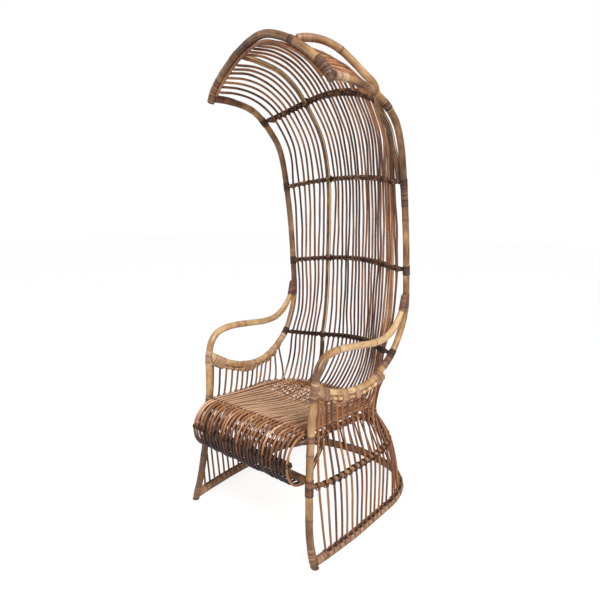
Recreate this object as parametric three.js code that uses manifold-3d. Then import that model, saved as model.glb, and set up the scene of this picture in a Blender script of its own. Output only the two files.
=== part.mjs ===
// Hooded rattan armchair of the porter's chair kind, in millimetres, +Z up, front facing -Y.
// Bent poles make the frame. Long thin rods run from the hood, down the back, over the seat and
// round its front roll. Shorter rods make the side walls and the skirt down to a floor hoop.

import * as THREE from 'three';
import { mergeVertices } from 'three/addons/utils/BufferGeometryUtils.js';
import Module from 'manifold-3d';

const wasm = await Module();
wasm.setup();

// Envelope that the shares below are shares of.
const chairHeight = 1600;
const chairDepth = 700;
const backHalfWidth = 265;

// Gap that touching pieces keep.
const clearance = 0.3;

// Radii of poles and rods.
const legPoleRadius = 12;
const armEndRadius = 8;
const sidePoleRadius = 11.5;
const archRadius = 11.8;
const rimRadius = 6;
const leftStileRadius = 9;
const rightStileRadius = 11;
const bandRadius = 7.2;
const armRailRadius = 6.5;
const floorHoopRadius = 13.5;
const runnerRadius = 2.6;
const midHoopRadius = 8;
const seatHoopRadius = 8.5;
const bowRailRadius = 8;
const rollBarRadius = 6.5;
const frontPoleRadius = 12;
const braceRadius = 6.5;
const seatSlatRadius = 4;
const longRodRadius = 3.8;
const skirtRodRadius = 3.6;

// Heights and places of the seat and the hoop below it.
const seatHoopFrontHeight = 400;
const seatHoopRearHeight = 370;
const midHoopShare = 0.635;
const midHoopHeight = midHoopShare * seatHoopFrontHeight;
const frontSlatRodRise = 9;
// The seat is dished: at two places behind the front slat its edges lie this far below the seat
// hoop's front, and its middle sags by so much more.
const middleDish = { back: 190, drop: 2, sag: 22 };
const rearDish = { back: 300, drop: 8, sag: 34 };
// How deep the seat's filler rods sit in the middle slat, and how far they pass the front one.
const fillerSink = 0.8;
const fillerOverhang = 6;
// Gap between the outermost long rods and the seat hoop where the hoop is narrowest.
const besideHoop = 1.3;

// The poles' feet are cut off flat this far up, and the chair is lowered by as much.
const footTrim = 9;

// Front roll of the seat: half an ellipse seen from the side.
const rollCentreBack = 20;
const rollReach = 70;
const rollHalfHeight = 80;
const rollEndBack = 46;

// Number of sides of each section.
const poleSides = 8;
const railSides = 6;
const rodSides = 4;

// Counts of repeated rods, as the photograph shows them.
const rodsLeftOfStile = 7;
const rodsRightOfStile = 20;
const sideRodsPerSide = 14;
const rearRods = 18;

// Side pole: from the front post along the arm, up the back and forward under the hood.
const sidePoleShares = [
  [0.895, 0.075, 0.1347], [0.834, 0.172, 0.1027], [0.845, 0.293, 0.08], [0.883, 0.407, 0.0733],
  [0.921, 0.526, 0.0853], [0.951, 0.666, 0.1373], [0.974, 0.731, 0.1933], [0.992, 0.769, 0.26],
  [0.996, 0.757, 0.4173], [0.992, 0.714, 0.592], [0.996, 0.643, 0.7507], [1.004, 0.571, 0.804],
  [0.966, 0.429, 0.8533], [0.936, 0.257, 0.8667], [0.928, 0.125, 0.864],
];
// Leg pole: from its splayed foot up the front post and back as the armrest.
const legPoleShares = [
  [1.071, 0.0, -1], [1.024, 0.0, -0.896], [0.97, 0.006, -0.75], [0.932, 0.019, -0.55],
  [0.906, 0.031, -0.35], [0.88, 0.05, 0], [0.89, 0.058, 0.0833], [0.902, 0.065, 0.1373],
  [0.902, 0.083, 0.176], [0.905, 0.126, 0.2], [0.91, 0.214, 0.2093], [0.932, 0.371, 0.2033],
  [0.955, 0.5, 0.1967], [0.974, 0.6, 0.2027], [0.985, 0.683, 0.23],
];
// Heights where the end of the armrest lies against the side pole.
const armSpliceShares = [0.2787, 0.308];
// Share of the leg pole's length after which it thins towards its splice.
const armTaperShare = 0.9;
// Front arch of the hood, from its tip to its middle.
const archShares = [
  [0.932, 0.125, 0.852], [0.884, 0.125, 0.874], [0.785, 0.122, 0.898], [0.562, 0.117, 0.936],
  [0.31, 0.113, 0.9667], [0, 0.111, 0.9847],
];
// Cross bands: height of the ends, how far the middle lies behind them, how far it rises above
// them, and how round the bow is.
const bands = [
  { name: 'cross_band_top', heightShare: 0.8307, bowShare: 0.134, riseShare: 0.076, roundShare: 0.39 },
  { name: 'cross_band_upper', heightShare: 0.6373, bowShare: 0.14, riseShare: 0.0293, roundShare: 1.16 },
  { name: 'cross_band_middle', heightShare: 0.388, bowShare: 0.099, riseShare: 0.0187, roundShare: 1.81 },
  { name: 'cross_band_lower', heightShare: 0.1413, bowShare: 0.236, riseShare: -0.012, roundShare: 1.45 },
];
// Stations of the cage between the rim and the top band, and between one band and the next.
const cageStepShares = [[0.28, 0.56, 0.8], [0.5], [0.5], [0.33, 0.67]];
// Extra rise of the rods half-way between the rim and the top band.
const roofRiseShare = 0.024;
// How far the cage's middle follows the side poles' bends: fully, but not above the lowest band.
const middleFollowShares = [1, 1, 1, 0];
// Places of the left stile and of the outermost rods at the rim and at each band.
const leftStileShares = [-0.41, -0.4775, -0.4075, -0.4225, -0.53];
const leftEdgeShares = [-0.9, -0.9, -0.9, -0.9, -0.9];
const rightEdgeShares = [0.9, 0.84, 0.84, 0.88, 0.85];
// Space between the stile's middle line and the rods beside it.
const besideStileShare = 0.087;
// Part of the arch's arc that lateral shares span at the rim, and where the rim rod starts.
const rimSpanShare = 0.464;
const rimStartShare = 0.05;
// Right stile: from the arch over the roof, past the side pole, down to the second band.
const rightStileShares = [
  [0.438, 0.114, 0.9573], [0.528, 0.169, 0.9633], [0.626, 0.231, 0.9608], [0.717, 0.289, 0.9467],
  [0.8, 0.34, 0.9227], [0.875, 0.386, 0.8973], [0.936, 0.431, 0.8753], [0.898, 0.486, 0.85],
  [0.875, 0.512, 0.8307], [0.875, 0.545, 0.8147], [0.894, 0.596, 0.784], [0.898, 0.653, 0.7253],
  [0.9, 0.69, 0.688],
];
// Bends between the lowest band and the seat hoop: shares of the way back, up and out.
const rodBendShares = [[0.8, 0.55, 0.85], [0.4, 0.2, 0.4]];
const stileBendShares = [[0.92, 0.5, 1], [0.6, 0.15, 1]];
// Roll stations: shares of the half turn. Rails touch the rods half-way along a step.
const rollShares = [0, 0.1, 0.2, 0.3, 0.42, 0.52, 0.66, 0.82, 1];
const bowRailStep = 2;
const rollBarStep = 4;
// Bow rail between its straight part and the post: width, way back and way up.
const bowShares = [[0.81, 0.39, 0.64], [0.7, 0.14, 0.24], [0.58, 0.03, 0.05], [0.46, 0, 0], [0.3, 0, 0]];
// Hoops in plan, from the front post round to the middle of the back.
const seatWaistShare = 0.853;
const seatHoopShares = [
  [0.88, 0.055], [0.86, 0.14], [seatWaistShare, 0.27], [0.87, 0.4], [0.9, 0.5], [0.872, 0.55],
  [0.765, 0.598], [0.6, 0.637], [0.302, 0.672], [0, 0.683],
];
const midHoopShares = [
  [0.94, 0.03], [1.019, 0.1], [1.06, 0.243], [1.079, 0.414], [1.072, 0.543],
  [1.019, 0.614], [0.917, 0.679], [0.755, 0.736], [0.415, 0.779], [0, 0.793],
];
const floorHoopShares = [
  [1.064, 0.01], [1.09, 0.1], [1.108, 0.186], [1.126, 0.279], [1.13, 0.374], [1.134, 0.52],
  [1.13, 0.636], [1.09, 0.722], [1.004, 0.799], [0.85, 0.873], [0.64, 0.93], [0.42, 0.956],
  [0.21, 0.97], [0, 0.978],
];
// First and last side rod along the arm rail and along each hoop.
const armRailRodShares = [0.055, 0.93];
const seatHoopRodShares = [0.014, 0.312];
const midHoopRodShares = [0.013, 0.252];
const floorHoopRodShares = [0.0245, 0.222];
// Height where the arm rail ends under the side pole.
const armRailEndShare = 0.1227;
// Side brace: foot on the front post, head under the seat hoop.
const braceFootShare = -0.276;
const braceHeadShare = 0.194;
// Parts of the seat hoop's length that are its side and its rear.
const hoopSideShares = [0, 0.3];
const hoopRearShares = [0.25, 0.75];

// Numbers of steps along the smooth curves.
const sidePoleSteps = 26;
const legPoleSteps = 26;
const archSteps = 20;
const rimSteps = 26;
const armRailSteps = 14;
const bowRailSteps = 22;
const rightStileSteps = 20;

const across = new THREE.Vector3(1, 0, 0);
const back = new THREE.Vector3(0, 1, 0);
const up = new THREE.Vector3(0, 0, 1);
const down = new THREE.Vector3(0, 0, -1);

// Section polygons keep the area of the round pole that they stand for.
function flat(radius, sides) {
  return radius * Math.sqrt(Math.PI / (sides * Math.tan(Math.PI / sides)));
}
function corner(radius, sides) {
  return flat(radius, sides) / Math.cos(Math.PI / sides);
}

// Height shares run from -1 at the ground over 0 at the seat hoop's front to 1 at the top.
const hoodRise = chairHeight - seatHoopFrontHeight;
function heightAt(share) {
  return seatHoopFrontHeight + share * (share < 0 ? seatHoopFrontHeight : hoodRise);
}
function place([x, y, z], side = 1) {
  return new THREE.Vector3(side * x * backHalfWidth, y * chairDepth, heightAt(z));
}
function smooth(points) {
  return new THREE.CatmullRomCurve3(points, false, 'centripetal');
}
function mirrored(points) {
  const half = points.slice(0, -1).map((p) => new THREE.Vector3(-p.x, p.y, p.z));
  return [...points, ...half.reverse()];
}
function evenly(first, last, count) {
  return Array.from({ length: count }, (_, i) => first + ((last - first) * i) / (count - 1));
}
function sampled(curve, steps) {
  return evenly(0, 1, steps + 1).map((share) => curve.getPointAt(share));
}
// Share along a curve, between two others, where a measure of its point passes a value.
function shareWhere(curve, measure, value, from, to) {
  let low = from;
  let high = to;
  const rising = measure(curve.getPointAt(to)) > measure(curve.getPointAt(from));
  for (let i = 0; i < 30; i += 1) {
    const middle = (low + high) / 2;
    if (measure(curve.getPointAt(middle)) < value === rising) low = middle;
    else high = middle;
  }
  return (low + high) / 2;
}

// Tangent of a polyline at one of its points.
function tangentAt(points, i) {
  const tangent = new THREE.Vector3();
  if (i > 0) tangent.add(points[i].clone().sub(points[i - 1]).normalize());
  if (i < points.length - 1) tangent.add(points[i + 1].clone().sub(points[i]).normalize());
  return tangent.normalize();
}

// Closed tube through the points. Flats of its section face the normals.
function tube(points, normals, radii, sides) {
  const positions = [];
  points.forEach((point, i) => {
    const tangent = tangentAt(points, i);
    const facing = Array.isArray(normals) ? normals[i] : normals;
    const normal = facing.clone().addScaledVector(tangent, -facing.dot(tangent)).normalize();
    const lateral = new THREE.Vector3().crossVectors(tangent, normal);
    const reach = corner(Array.isArray(radii) ? radii[i] : radii, sides);
    for (let k = 0; k < sides; k += 1) {
      const angle = ((k + 0.5) * 2 * Math.PI) / sides;
      const vertex = point.clone();
      vertex.addScaledVector(normal, reach * Math.cos(angle));
      vertex.addScaledVector(lateral, reach * Math.sin(angle));
      positions.push(vertex.x, vertex.y, vertex.z);
    }
  });
  const faces = [];
  for (let i = 0; i < points.length - 1; i += 1) {
    for (let k = 0; k < sides; k += 1) {
      const a = i * sides + k;
      const b = i * sides + ((k + 1) % sides);
      faces.push(a, b, b + sides, a, b + sides, a + sides);
    }
  }
  const last = (points.length - 1) * sides;
  for (let k = 1; k < sides - 1; k += 1) {
    faces.push(0, k + 1, k, last, last + k, last + k + 1);
  }
  const geometry = new THREE.BufferGeometry();
  geometry.setAttribute('position', new THREE.Float32BufferAttribute(positions, 3));
  geometry.setIndex(faces);
  return geometry;
}

// Booleans between closed geometries.
function toSolid(geometry) {
  const bare = geometry.clone();
  bare.deleteAttribute('normal');
  bare.deleteAttribute('uv');
  const merged = mergeVertices(bare);
  return new wasm.Manifold(new wasm.Mesh({
    numProp: 3,
    vertProperties: new Float32Array(merged.attributes.position.array),
    triVerts: new Uint32Array(merged.index.array),
  }));
}
function toGeometry(solid) {
  const mesh = solid.getMesh();
  const geometry = new THREE.BufferGeometry();
  geometry.setAttribute('position', new THREE.Float32BufferAttribute(mesh.vertProperties, 3));
  geometry.setIndex(Array.from(mesh.triVerts));
  return geometry;
}
function join(geometries) {
  return toGeometry(geometries.map(toSolid).reduce((sum, solid) => sum.add(solid)));
}
// Copes a pole against its neighbours. Chips beyond the joint are dropped.
function coped(geometry, neighbours) {
  const solid = neighbours.map(toSolid).reduce((rest, cutter) => rest.subtract(cutter), toSolid(geometry));
  const bodies = solid.decompose();
  bodies.sort((a, b) => b.volume() - a.volume());
  return toGeometry(bodies[0]);
}

const colours = {
  pole: new THREE.MeshStandardMaterial({ color: 0xc9a46a, roughness: 0.45, metalness: 0 }),
  rod: new THREE.MeshStandardMaterial({ color: 0x7a4a2c, roughness: 0.55, metalness: 0 }),
  skirt: new THREE.MeshStandardMaterial({ color: 0x9c6136, roughness: 0.55, metalness: 0 }),
  lashed: new THREE.MeshStandardMaterial({ color: 0x3f2619, roughness: 0.65, metalness: 0 }),
  wrapped: new THREE.MeshStandardMaterial({ color: 0x8d6747, roughness: 0.6, metalness: 0 }),
};
const chair = new THREE.Group();
function add(name, geometry, material) {
  const mesh = new THREE.Mesh(geometry, material);
  mesh.name = name;
  chair.add(mesh);
}
const hands = [['right', 1], ['left', -1]];

// Side poles.
function sidePoleCurve(side) {
  return smooth(sidePoleShares.map((shares) => place(shares, side)));
}
const rightSideCurve = sidePoleCurve(1);
const backFootShare = 0.2;
const backTopShare = 0.86;
function sidePoleShareAt(height) {
  return shareWhere(rightSideCurve, (p) => p.z, height, backFootShare, backTopShare);
}
function sidePoleAt(height) {
  return rightSideCurve.getPointAt(sidePoleShareAt(height));
}
function sidePole(side, radius) {
  return tube(sampled(sidePoleCurve(side), sidePoleSteps), across, radius, poleSides);
}

// Leg poles: leg, front post and armrest in one length.
function legPoleCurve(side) {
  const points = legPoleShares.map((shares) => place(shares, side));
  const reach = corner(armEndRadius, poleSides) + corner(sidePoleRadius, poleSides) + clearance;
  armSpliceShares.forEach((share) => {
    const point = sidePoleAt(heightAt(share)).addScaledVector(back, -reach);
    points.push(point.setX(side * point.x));
  });
  return smooth(points);
}
const rightLegCurve = legPoleCurve(1);
const postTopShare = 0.42;
function legPoleAt(height) {
  const share = shareWhere(rightLegCurve, (p) => p.z, height, 0, postTopShare);
  return rightLegCurve.getPointAt(share);
}
function legPole(side, radius) {
  const radii = evenly(0, 1, legPoleSteps + 1).map((share) => {
    const thinning = Math.max(0, (share - armTaperShare) / (1 - armTaperShare));
    return radius - (legPoleRadius - armEndRadius) * thinning;
  });
  return tube(sampled(legPoleCurve(side), legPoleSteps), across, radii, poleSides);
}
const roomyLegs = hands.map(([, side]) => legPole(side, legPoleRadius + clearance));
const roomySidePoles = hands.map(([, side]) => sidePole(side, sidePoleRadius + clearance));

// Front arch of the hood.
const archCurve = smooth(mirrored(archShares.map((shares) => place(shares))));
function arch(radius) {
  return tube(sampled(archCurve, archSteps), back, radius, poleSides);
}
const roomyArch = arch(archRadius + clearance);

// The ground cuts the feet flat.
const groundReach = 2 * chairDepth;
const ground = new THREE.BoxGeometry(groundReach, groundReach, groundReach);
ground.translate(0, 0, footTrim - groundReach / 2);

hands.forEach(([hand, side], i) => {
  add(`leg_and_arm_pole_${hand}`, coped(legPole(side, legPoleRadius), [ground]), colours.pole);
  const neighbours = [roomyLegs[i], roomyArch];
  add(`side_pole_${hand}`, coped(sidePole(side, sidePoleRadius), neighbours), colours.pole);
});
add('hood_front_arch', arch(archRadius), colours.pole);

// Rim rod: along the inside of the arch, for the ends of the long rods.
const rimOffset = corner(archRadius, poleSides) + corner(rimRadius, railSides) + clearance;
function rimPoint(share) {
  const inward = new THREE.Vector3().crossVectors(archCurve.getTangentAt(share), back).normalize();
  if (inward.z > 0) inward.negate();
  return archCurve.getPointAt(share).addScaledVector(inward, rimOffset);
}
function rim(radius) {
  const shares = evenly(rimStartShare, 1 - rimStartShare, rimSteps + 1);
  return tube(shares.map(rimPoint), back, radius, railSides);
}
add('hood_rim_rod', coped(rim(rimRadius), roomySidePoles), colours.rod);

// Places on the cage of hood and back. A lateral share runs from -1 at the left side pole to 1
// at the right one.
function onArch(s) {
  return 0.5 - s * rimSpanShare;
}
function onRim(s) {
  return rimPoint(onArch(s));
}
function onBand(band, s) {
  const end = sidePoleAt(heightAt(band.heightShare));
  const fall = band.roundShare * s ** 2 + (1 - band.roundShare) * s ** 4;
  return new THREE.Vector3(
    end.x * s,
    end.y + band.bowShare * chairDepth * (1 - fall),
    end.z + band.riseShare * hoodRise * (1 - s ** 2),
  );
}

// Lateral shares of the long rods at the rim and at each band.
function rodSharesAt(level) {
  const stile = leftStileShares[level];
  return [
    ...evenly(leftEdgeShares[level], stile - besideStileShare, rodsLeftOfStile),
    ...evenly(stile + besideStileShare, rightEdgeShares[level], rodsRightOfStile),
  ];
}
const levels = bands.map((_, k) => k + 1);
const rodShares = [0, ...levels].map(rodSharesAt);
const rodCount = rodsLeftOfStile + rodsRightOfStile;

// Bands bend only between the rods, so that each rod lies on a straight piece of them.
const bandVertices = levels.map((level) => {
  const crossing = [...rodShares[level], leftStileShares[level]].sort((a, b) => a - b);
  const between = crossing.slice(1).map((share, i) => (share + crossing[i]) / 2);
  const last = crossing.length - 1;
  const outer = [2 * crossing[0] - between[0], 2 * crossing[last] - between[last - 1]];
  return [-1, outer[0], ...between, outer[1], 1];
});
function onBandPiece(level, s) {
  const vertices = bandVertices[level - 1];
  const i = vertices.findIndex((share) => share > s);
  const from = onBand(bands[level - 1], vertices[i - 1]);
  const to = onBand(bands[level - 1], vertices[i]);
  const t = (s - vertices[i - 1]) / (vertices[i] - vertices[i - 1]);
  return { point: from.clone().lerp(to, t), along: to.clone().sub(from).normalize() };
}

// How the side pole departs from the straight line between two of its places.
const polePlaces = [1, ...bands.map((band) => sidePoleShareAt(heightAt(band.heightShare)))];
function departure(level, t, s) {
  const from = polePlaces[level];
  const to = polePlaces[level + 1];
  const chord = rightSideCurve.getPointAt(from).lerp(rightSideCurve.getPointAt(to), t);
  const following = THREE.MathUtils.lerp(middleFollowShares[level], 1, s ** 2);
  const whole = rightSideCurve.getPointAt(from + (to - from) * t).sub(chord).setX(0);
  return whole.multiplyScalar(following);
}

function roofRise(t, s) {
  return roofRiseShare * hoodRise * Math.sin(Math.PI * t) * (1 - s ** 4);
}

// Line down the cage through one lateral share per level, with the direction across it.
function cageLine(shares) {
  const line = [{ point: onRim(shares[0]), along: across, level: 0 }];
  cageStepShares.forEach((steps, level) => {
    const here = line[line.length - 1];
    const { point, along } = onBandPiece(level + 1, shares[level + 1]);
    steps.forEach((t) => {
      const rise = level === 0 ? roofRise(t, shares[1]) : 0;
      line.push({
        point: here.point.clone().lerp(point, t).add(departure(level, t, shares[level + 1]))
          .addScaledVector(up, rise),
        along: here.along.clone().lerp(along, t).normalize(),
        level: level + t,
      });
    });
    line.push({ point, along, level: level + 1 });
  });
  return line;
}
// Lays a rod on the sitter's side of the bands. It leaves the rim level with it.
function laidOnCage(shares, offset) {
  const line = cageLine(shares);
  const base = line.map(({ point }) => point);
  const normals = line.map(({ along }, i) => (
    new THREE.Vector3().crossVectors(tangentAt(base, i), along).normalize()
  ));
  const points = line.map(({ point, level }, i) => (
    point.clone().addScaledVector(normals[i], offset * Math.min(1, level))
  ));
  return { points, normals };
}

const bandFlat = flat(bandRadius, railSides);
const rodFlat = flat(longRodRadius, rodSides);
function bandTube(k, radius) {
  const station = cageStepShares.slice(0, k + 1).reduce((sum, steps) => sum + steps.length + 1, 0);
  const points = bandVertices[k].map((s) => onBand(bands[k], s));
  const normals = bandVertices[k].map((s) => {
    const inner = THREE.MathUtils.clamp(s, leftEdgeShares[k + 1], -leftEdgeShares[k + 1]);
    return laidOnCage(leftStileShares.map(() => inner), 0).normals[station];
  });
  return tube(points, normals, radius, railSides);
}
bands.forEach((band, k) => {
  add(band.name, coped(bandTube(k, bandRadius), roomySidePoles), colours.lashed);
});

// Hoops, open at the front and closed round the back.
function hoopCurve(shares, frontHeight, rearHeight) {
  const rearShare = shares[shares.length - 1][1];
  const points = shares.map(([x, y]) => {
    const height = THREE.MathUtils.lerp(frontHeight, rearHeight, Math.max(0, y) / rearShare);
    return new THREE.Vector3(x * backHalfWidth, y * chairDepth, height);
  });
  return smooth(mirrored(points));
}
// The floor hoop lies on a thin runner, which lies on the ground.
const runnerHeight = footTrim + flat(runnerRadius, rodSides);
const runnerDrop = flat(runnerRadius, rodSides) + clearance + flat(floorHoopRadius, poleSides);
const floorHoopHeight = runnerHeight + runnerDrop;
const seatHoopCurve = hoopCurve(seatHoopShares, seatHoopFrontHeight, seatHoopRearHeight);
const midHoopCurve = hoopCurve(midHoopShares, midHoopHeight, midHoopHeight);
const floorHoopCurve = hoopCurve(floorHoopShares, floorHoopHeight, floorHoopHeight);

// Shares along a hoop where the skirt's rods pass: right side, rear, left side.
function skirtShares([first, last]) {
  const side = evenly(first, last, sideRodsPerSide);
  const rear = evenly(last, 1 - last, rearRods + 2).slice(1, -1);
  return [...side, ...rear, ...side.map((share) => 1 - share).reverse()];
}
// Hoops bend only between the rods of the skirt.
function hoop(curve, rodPlaces, radius, sides, drop = 0) {
  const between = rodPlaces.slice(1).map((share, i) => (share + rodPlaces[i]) / 2);
  const points = [0, ...between, 1].map((share) => curve.getPointAt(share).addScaledVector(down, drop));
  return tube(points, up, radius, sides);
}
function outsideHoop(curve, share, reach) {
  const outward = new THREE.Vector3().crossVectors(curve.getTangentAt(share), up).normalize();
  return { point: curve.getPointAt(share).addScaledVector(outward, reach), outward };
}
const seatPlaces = skirtShares(seatHoopRodShares);
const midPlaces = skirtShares(midHoopRodShares);
const floorPlaces = skirtShares(floorHoopRodShares);
function floorHoop(radius) {
  return hoop(floorHoopCurve, floorPlaces, radius, poleSides);
}
function seatHoop(radius) {
  return hoop(seatHoopCurve, seatPlaces, radius, railSides);
}
const roomyFloorHoop = floorHoop(floorHoopRadius + clearance);
const roomySeatHoop = seatHoop(seatHoopRadius + clearance);
add('floor_hoop', coped(floorHoop(floorHoopRadius), roomyLegs), colours.wrapped);
const runner = hoop(floorHoopCurve, floorPlaces, runnerRadius, rodSides, runnerDrop);
add('floor_hoop_runner', coped(runner, roomyLegs), colours.skirt);
const midHoop = hoop(midHoopCurve, midPlaces, midHoopRadius, railSides);
add('mid_hoop', coped(midHoop, roomyLegs), colours.pole);

// Rods of the skirt pass outside the hoops and stand on the floor hoop.
const skirtFlat = flat(skirtRodRadius, rodSides);
const seatHoopCorner = corner(seatHoopRadius, railSides);
const midHoopCorner = corner(midHoopRadius, railSides);
function skirtReach(hoopCorner, outward, line) {
  const leans = line.slice(1).map((lower, i) => {
    const slope = line[i].clone().sub(lower);
    return Math.abs(Math.atan2(slope.dot(outward), slope.z));
  });
  return (hoopCorner + skirtFlat + clearance) / Math.cos(Math.max(...leans));
}
function skirtRod(index, top, radius = skirtRodRadius) {
  const onSeat = outsideHoop(seatHoopCurve, seatPlaces[index], seatHoopCorner + skirtFlat);
  const onMid = outsideHoop(midHoopCurve, midPlaces[index], midHoopCorner + skirtFlat);
  const foot = outsideHoop(floorHoopCurve, floorPlaces[index], 0);
  const line = [...(top ? [top] : []), onSeat.point, onMid.point];
  const seatReach = skirtReach(seatHoopCorner, onSeat.outward, line);
  const midReach = skirtReach(midHoopCorner, onMid.outward, line.slice(-2));
  const seat = outsideHoop(seatHoopCurve, seatPlaces[index], seatReach);
  const mid = outsideHoop(midHoopCurve, midPlaces[index], midReach);
  const upper = top ? [top, seat.point] : [seatHoopCurve.getPointAt(seatPlaces[index])];
  const points = [...upper, mid.point, foot.point];
  const normals = [...upper.map(() => seat.outward), mid.outward, foot.outward];
  return tube(points, normals, radius, rodSides);
}

// Arm rails: thin rails that carry the side rods, under the side poles and a little outside them.
const armRailReach = corner(sidePoleRadius, poleSides) + corner(armRailRadius, railSides) + clearance;
const armRailLeanShare = 0.1;
hands.forEach(([hand, side], h) => {
  const end = sidePoleShareAt(heightAt(armRailEndShare));
  const points = evenly(0, end, armRailSteps + 1).map((share) => {
    const tangent = rightSideCurve.getTangentAt(share);
    const below = down.clone().addScaledVector(tangent, -down.dot(tangent)).normalize();
    const outward = new THREE.Vector3().crossVectors(tangent, below).normalize();
    if (outward.x < 0) outward.negate();
    const point = rightSideCurve.getPointAt(share);
    point.addScaledVector(below, armRailReach * Math.cos(armRailLeanShare * Math.PI));
    point.addScaledVector(outward, armRailReach * Math.sin(armRailLeanShare * Math.PI));
    return point.setX(side * point.x);
  });
  const curve = smooth(points);
  const rail = tube(points, across, armRailRadius, railSides);
  const rods = evenly(...armRailRodShares, sideRodsPerSide).map((share, i) => {
    const index = side > 0 ? i : seatPlaces.length - 1 - i;
    return skirtRod(index, curve.getPointAt(share));
  });
  const wall = coped(join([rail, ...rods]), [roomyLegs[h], roomyFloorHoop]);
  add(`side_wall_${hand}`, wall, colours.skirt);
});
const rear = seatPlaces.slice(sideRodsPerSide, -sideRodsPerSide);
function rearSkirt(radius) {
  return rear.map((_, i) => skirtRod(i + sideRodsPerSide, undefined, radius));
}
const seatFrame = join([seatHoop(seatHoopRadius), ...rearSkirt(skirtRodRadius)]);
add('seat_hoop_and_rear_skirt', coped(seatFrame, [...roomyLegs, roomyFloorHoop]), colours.skirt);

// Front roll, seen from the side, and where its rails touch the rods from inside.
const rollTop = seatHoopFrontHeight + frontSlatRodRise;
const rollBottom = rollTop - 2 * rollHalfHeight;
const rollPoints = rollShares.map((share) => new THREE.Vector3(
  0,
  rollCentreBack - rollReach * Math.sin(share * Math.PI),
  rollTop - rollHalfHeight * (1 - Math.cos(share * Math.PI)),
));
const rollNormals = rollShares.map((share) => new THREE.Vector3(
  0,
  -Math.sin(share * Math.PI) * rollHalfHeight,
  Math.cos(share * Math.PI) * rollReach,
).normalize());
function insideRoll(step, reach) {
  const from = rollPoints[step];
  const to = rollPoints[step + 1];
  const along = to.clone().sub(from).normalize();
  const inward = new THREE.Vector3().crossVectors(across, along).normalize();
  const middle = from.clone().lerp(to, 0.5);
  if (inward.y < 0) inward.negate();
  return { point: middle.addScaledVector(inward, reach), inward };
}

// Bar from left to right whose section's flat faces the rods.
function crossBar(point, halfWidth, normal, radius, sides) {
  const ends = [-1, 1].map((side) => point.clone().setX(side * halfWidth));
  return tube(ends, normal, radius, sides);
}
const rodHalf = rodFlat + clearance;
const frontPost = legPoleAt(seatHoopFrontHeight);
const slatDrop = rodHalf + flat(seatSlatRadius, railSides);
const frontSlatPoint = new THREE.Vector3(0, frontPost.y, rollTop - slatDrop);
const frontSlat = crossBar(frontSlatPoint, frontPost.x, up, seatSlatRadius, railSides);
add('seat_slat_front', coped(frontSlat, roomyLegs), colours.pole);

// Middle slat: it sags between the sides, and bends only between the long rods on it.
const seatRodsHalfWidth = seatWaistShare * backHalfWidth - seatHoopCorner - rodFlat - besideHoop;
const seatPitch = (2 * seatRodsHalfWidth) / (rodCount - 1);
function dished({ back: wayBack, drop, sag }, x) {
  const share = Math.min(1, Math.abs(x) / seatRodsHalfWidth);
  return new THREE.Vector3(x, wayBack, seatHoopFrontHeight - drop - sag * (1 - share ** 2));
}
function onDish(dish, x) {
  const from = dished(dish, x - seatPitch / 2);
  const to = dished(dish, x + seatPitch / 2);
  const backwards = dished(rearDish, x).sub(new THREE.Vector3(x, frontPost.y, rollTop));
  const normal = new THREE.Vector3().crossVectors(to.clone().sub(from), backwards).normalize();
  return { point: from.lerp(to, 0.5), normal };
}
const slatBends = evenly(-seatRodsHalfWidth - seatPitch / 2, seatRodsHalfWidth + seatPitch / 2, rodCount + 1);
const slatPlaces = [-backHalfWidth, ...slatBends, backHalfWidth];
const slatNormals = slatPlaces.map((x) => onDish(middleDish, x).normal);
const slatPoints = slatPlaces.map((x, i) => (
  dished(middleDish, x).addScaledVector(slatNormals[i], -slatDrop)
));
const middleSlat = tube(slatPoints, slatNormals, seatSlatRadius, railSides);
const rollBar = insideRoll(rollBarStep, rodHalf + flat(rollBarRadius, railSides));
const rollBarHalfWidth = seatRodsHalfWidth + seatPitch / 2;
const rollBarTube = crossBar(rollBar.point, rollBarHalfWidth, rollBar.inward, rollBarRadius, railSides);
add('roll_bar', rollBarTube, colours.lashed);

const bow = insideRoll(bowRailStep, rodHalf + flat(bowRailRadius, railSides));
const bowPost = legPoleAt(seatHoopFrontHeight);
const bowSide = [bowPost, ...bowShares.map(([x, wayBack, wayUp]) => new THREE.Vector3(
  x * backHalfWidth,
  THREE.MathUtils.lerp(bow.point.y, bowPost.y, wayBack),
  THREE.MathUtils.lerp(bow.point.z, bowPost.z, wayUp),
))];
const bowCurve = smooth([...mirrored([...bowSide, bow.point])]);
const bowTube = tube(sampled(bowCurve, bowRailSteps), bow.inward, bowRailRadius, railSides);
add('seat_front_bow_rail', coped(bowTube, roomyLegs), colours.pole);

const frontPoleFlat = flat(frontPoleRadius, poleSides);
const frontPoleHalfFacet = frontPoleFlat * Math.tan(Math.PI / poleSides);
const frontPoleBack = rollCentreBack + frontPoleHalfFacet + clearance;
const frontPolePoint = new THREE.Vector3(0, frontPoleBack, rollBottom + rodHalf + frontPoleFlat);
const frontPoleEnd = legPoleAt(frontPolePoint.z).x;
const frontPole = crossBar(frontPolePoint, frontPoleEnd, up, frontPoleRadius, poleSides);
add('lower_front_pole', coped(frontPole, roomyLegs), colours.lashed);

// Braces between the front posts and the underside of the seat hoop.
hands.forEach(([hand, side]) => {
  const foot = legPoleAt(heightAt(braceFootShare));
  const headShare = shareWhere(seatHoopCurve, (p) => p.y, braceHeadShare * chairDepth, ...hoopSideShares);
  const ends = [foot, seatHoopCurve.getPointAt(headShare)].map((p) => p.setX(side * p.x));
  const brace = tube(ends, across, braceRadius, railSides);
  add(`seat_brace_${hand}`, coped(brace, [...roomyLegs, roomySeatHoop]), colours.pole);
});

// Long rods: hood, back, seat and front roll in one length each.
function seatHoopAt(x) {
  return seatHoopCurve.getPointAt(shareWhere(seatHoopCurve, (p) => p.x, x, ...hoopRearShares));
}
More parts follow.
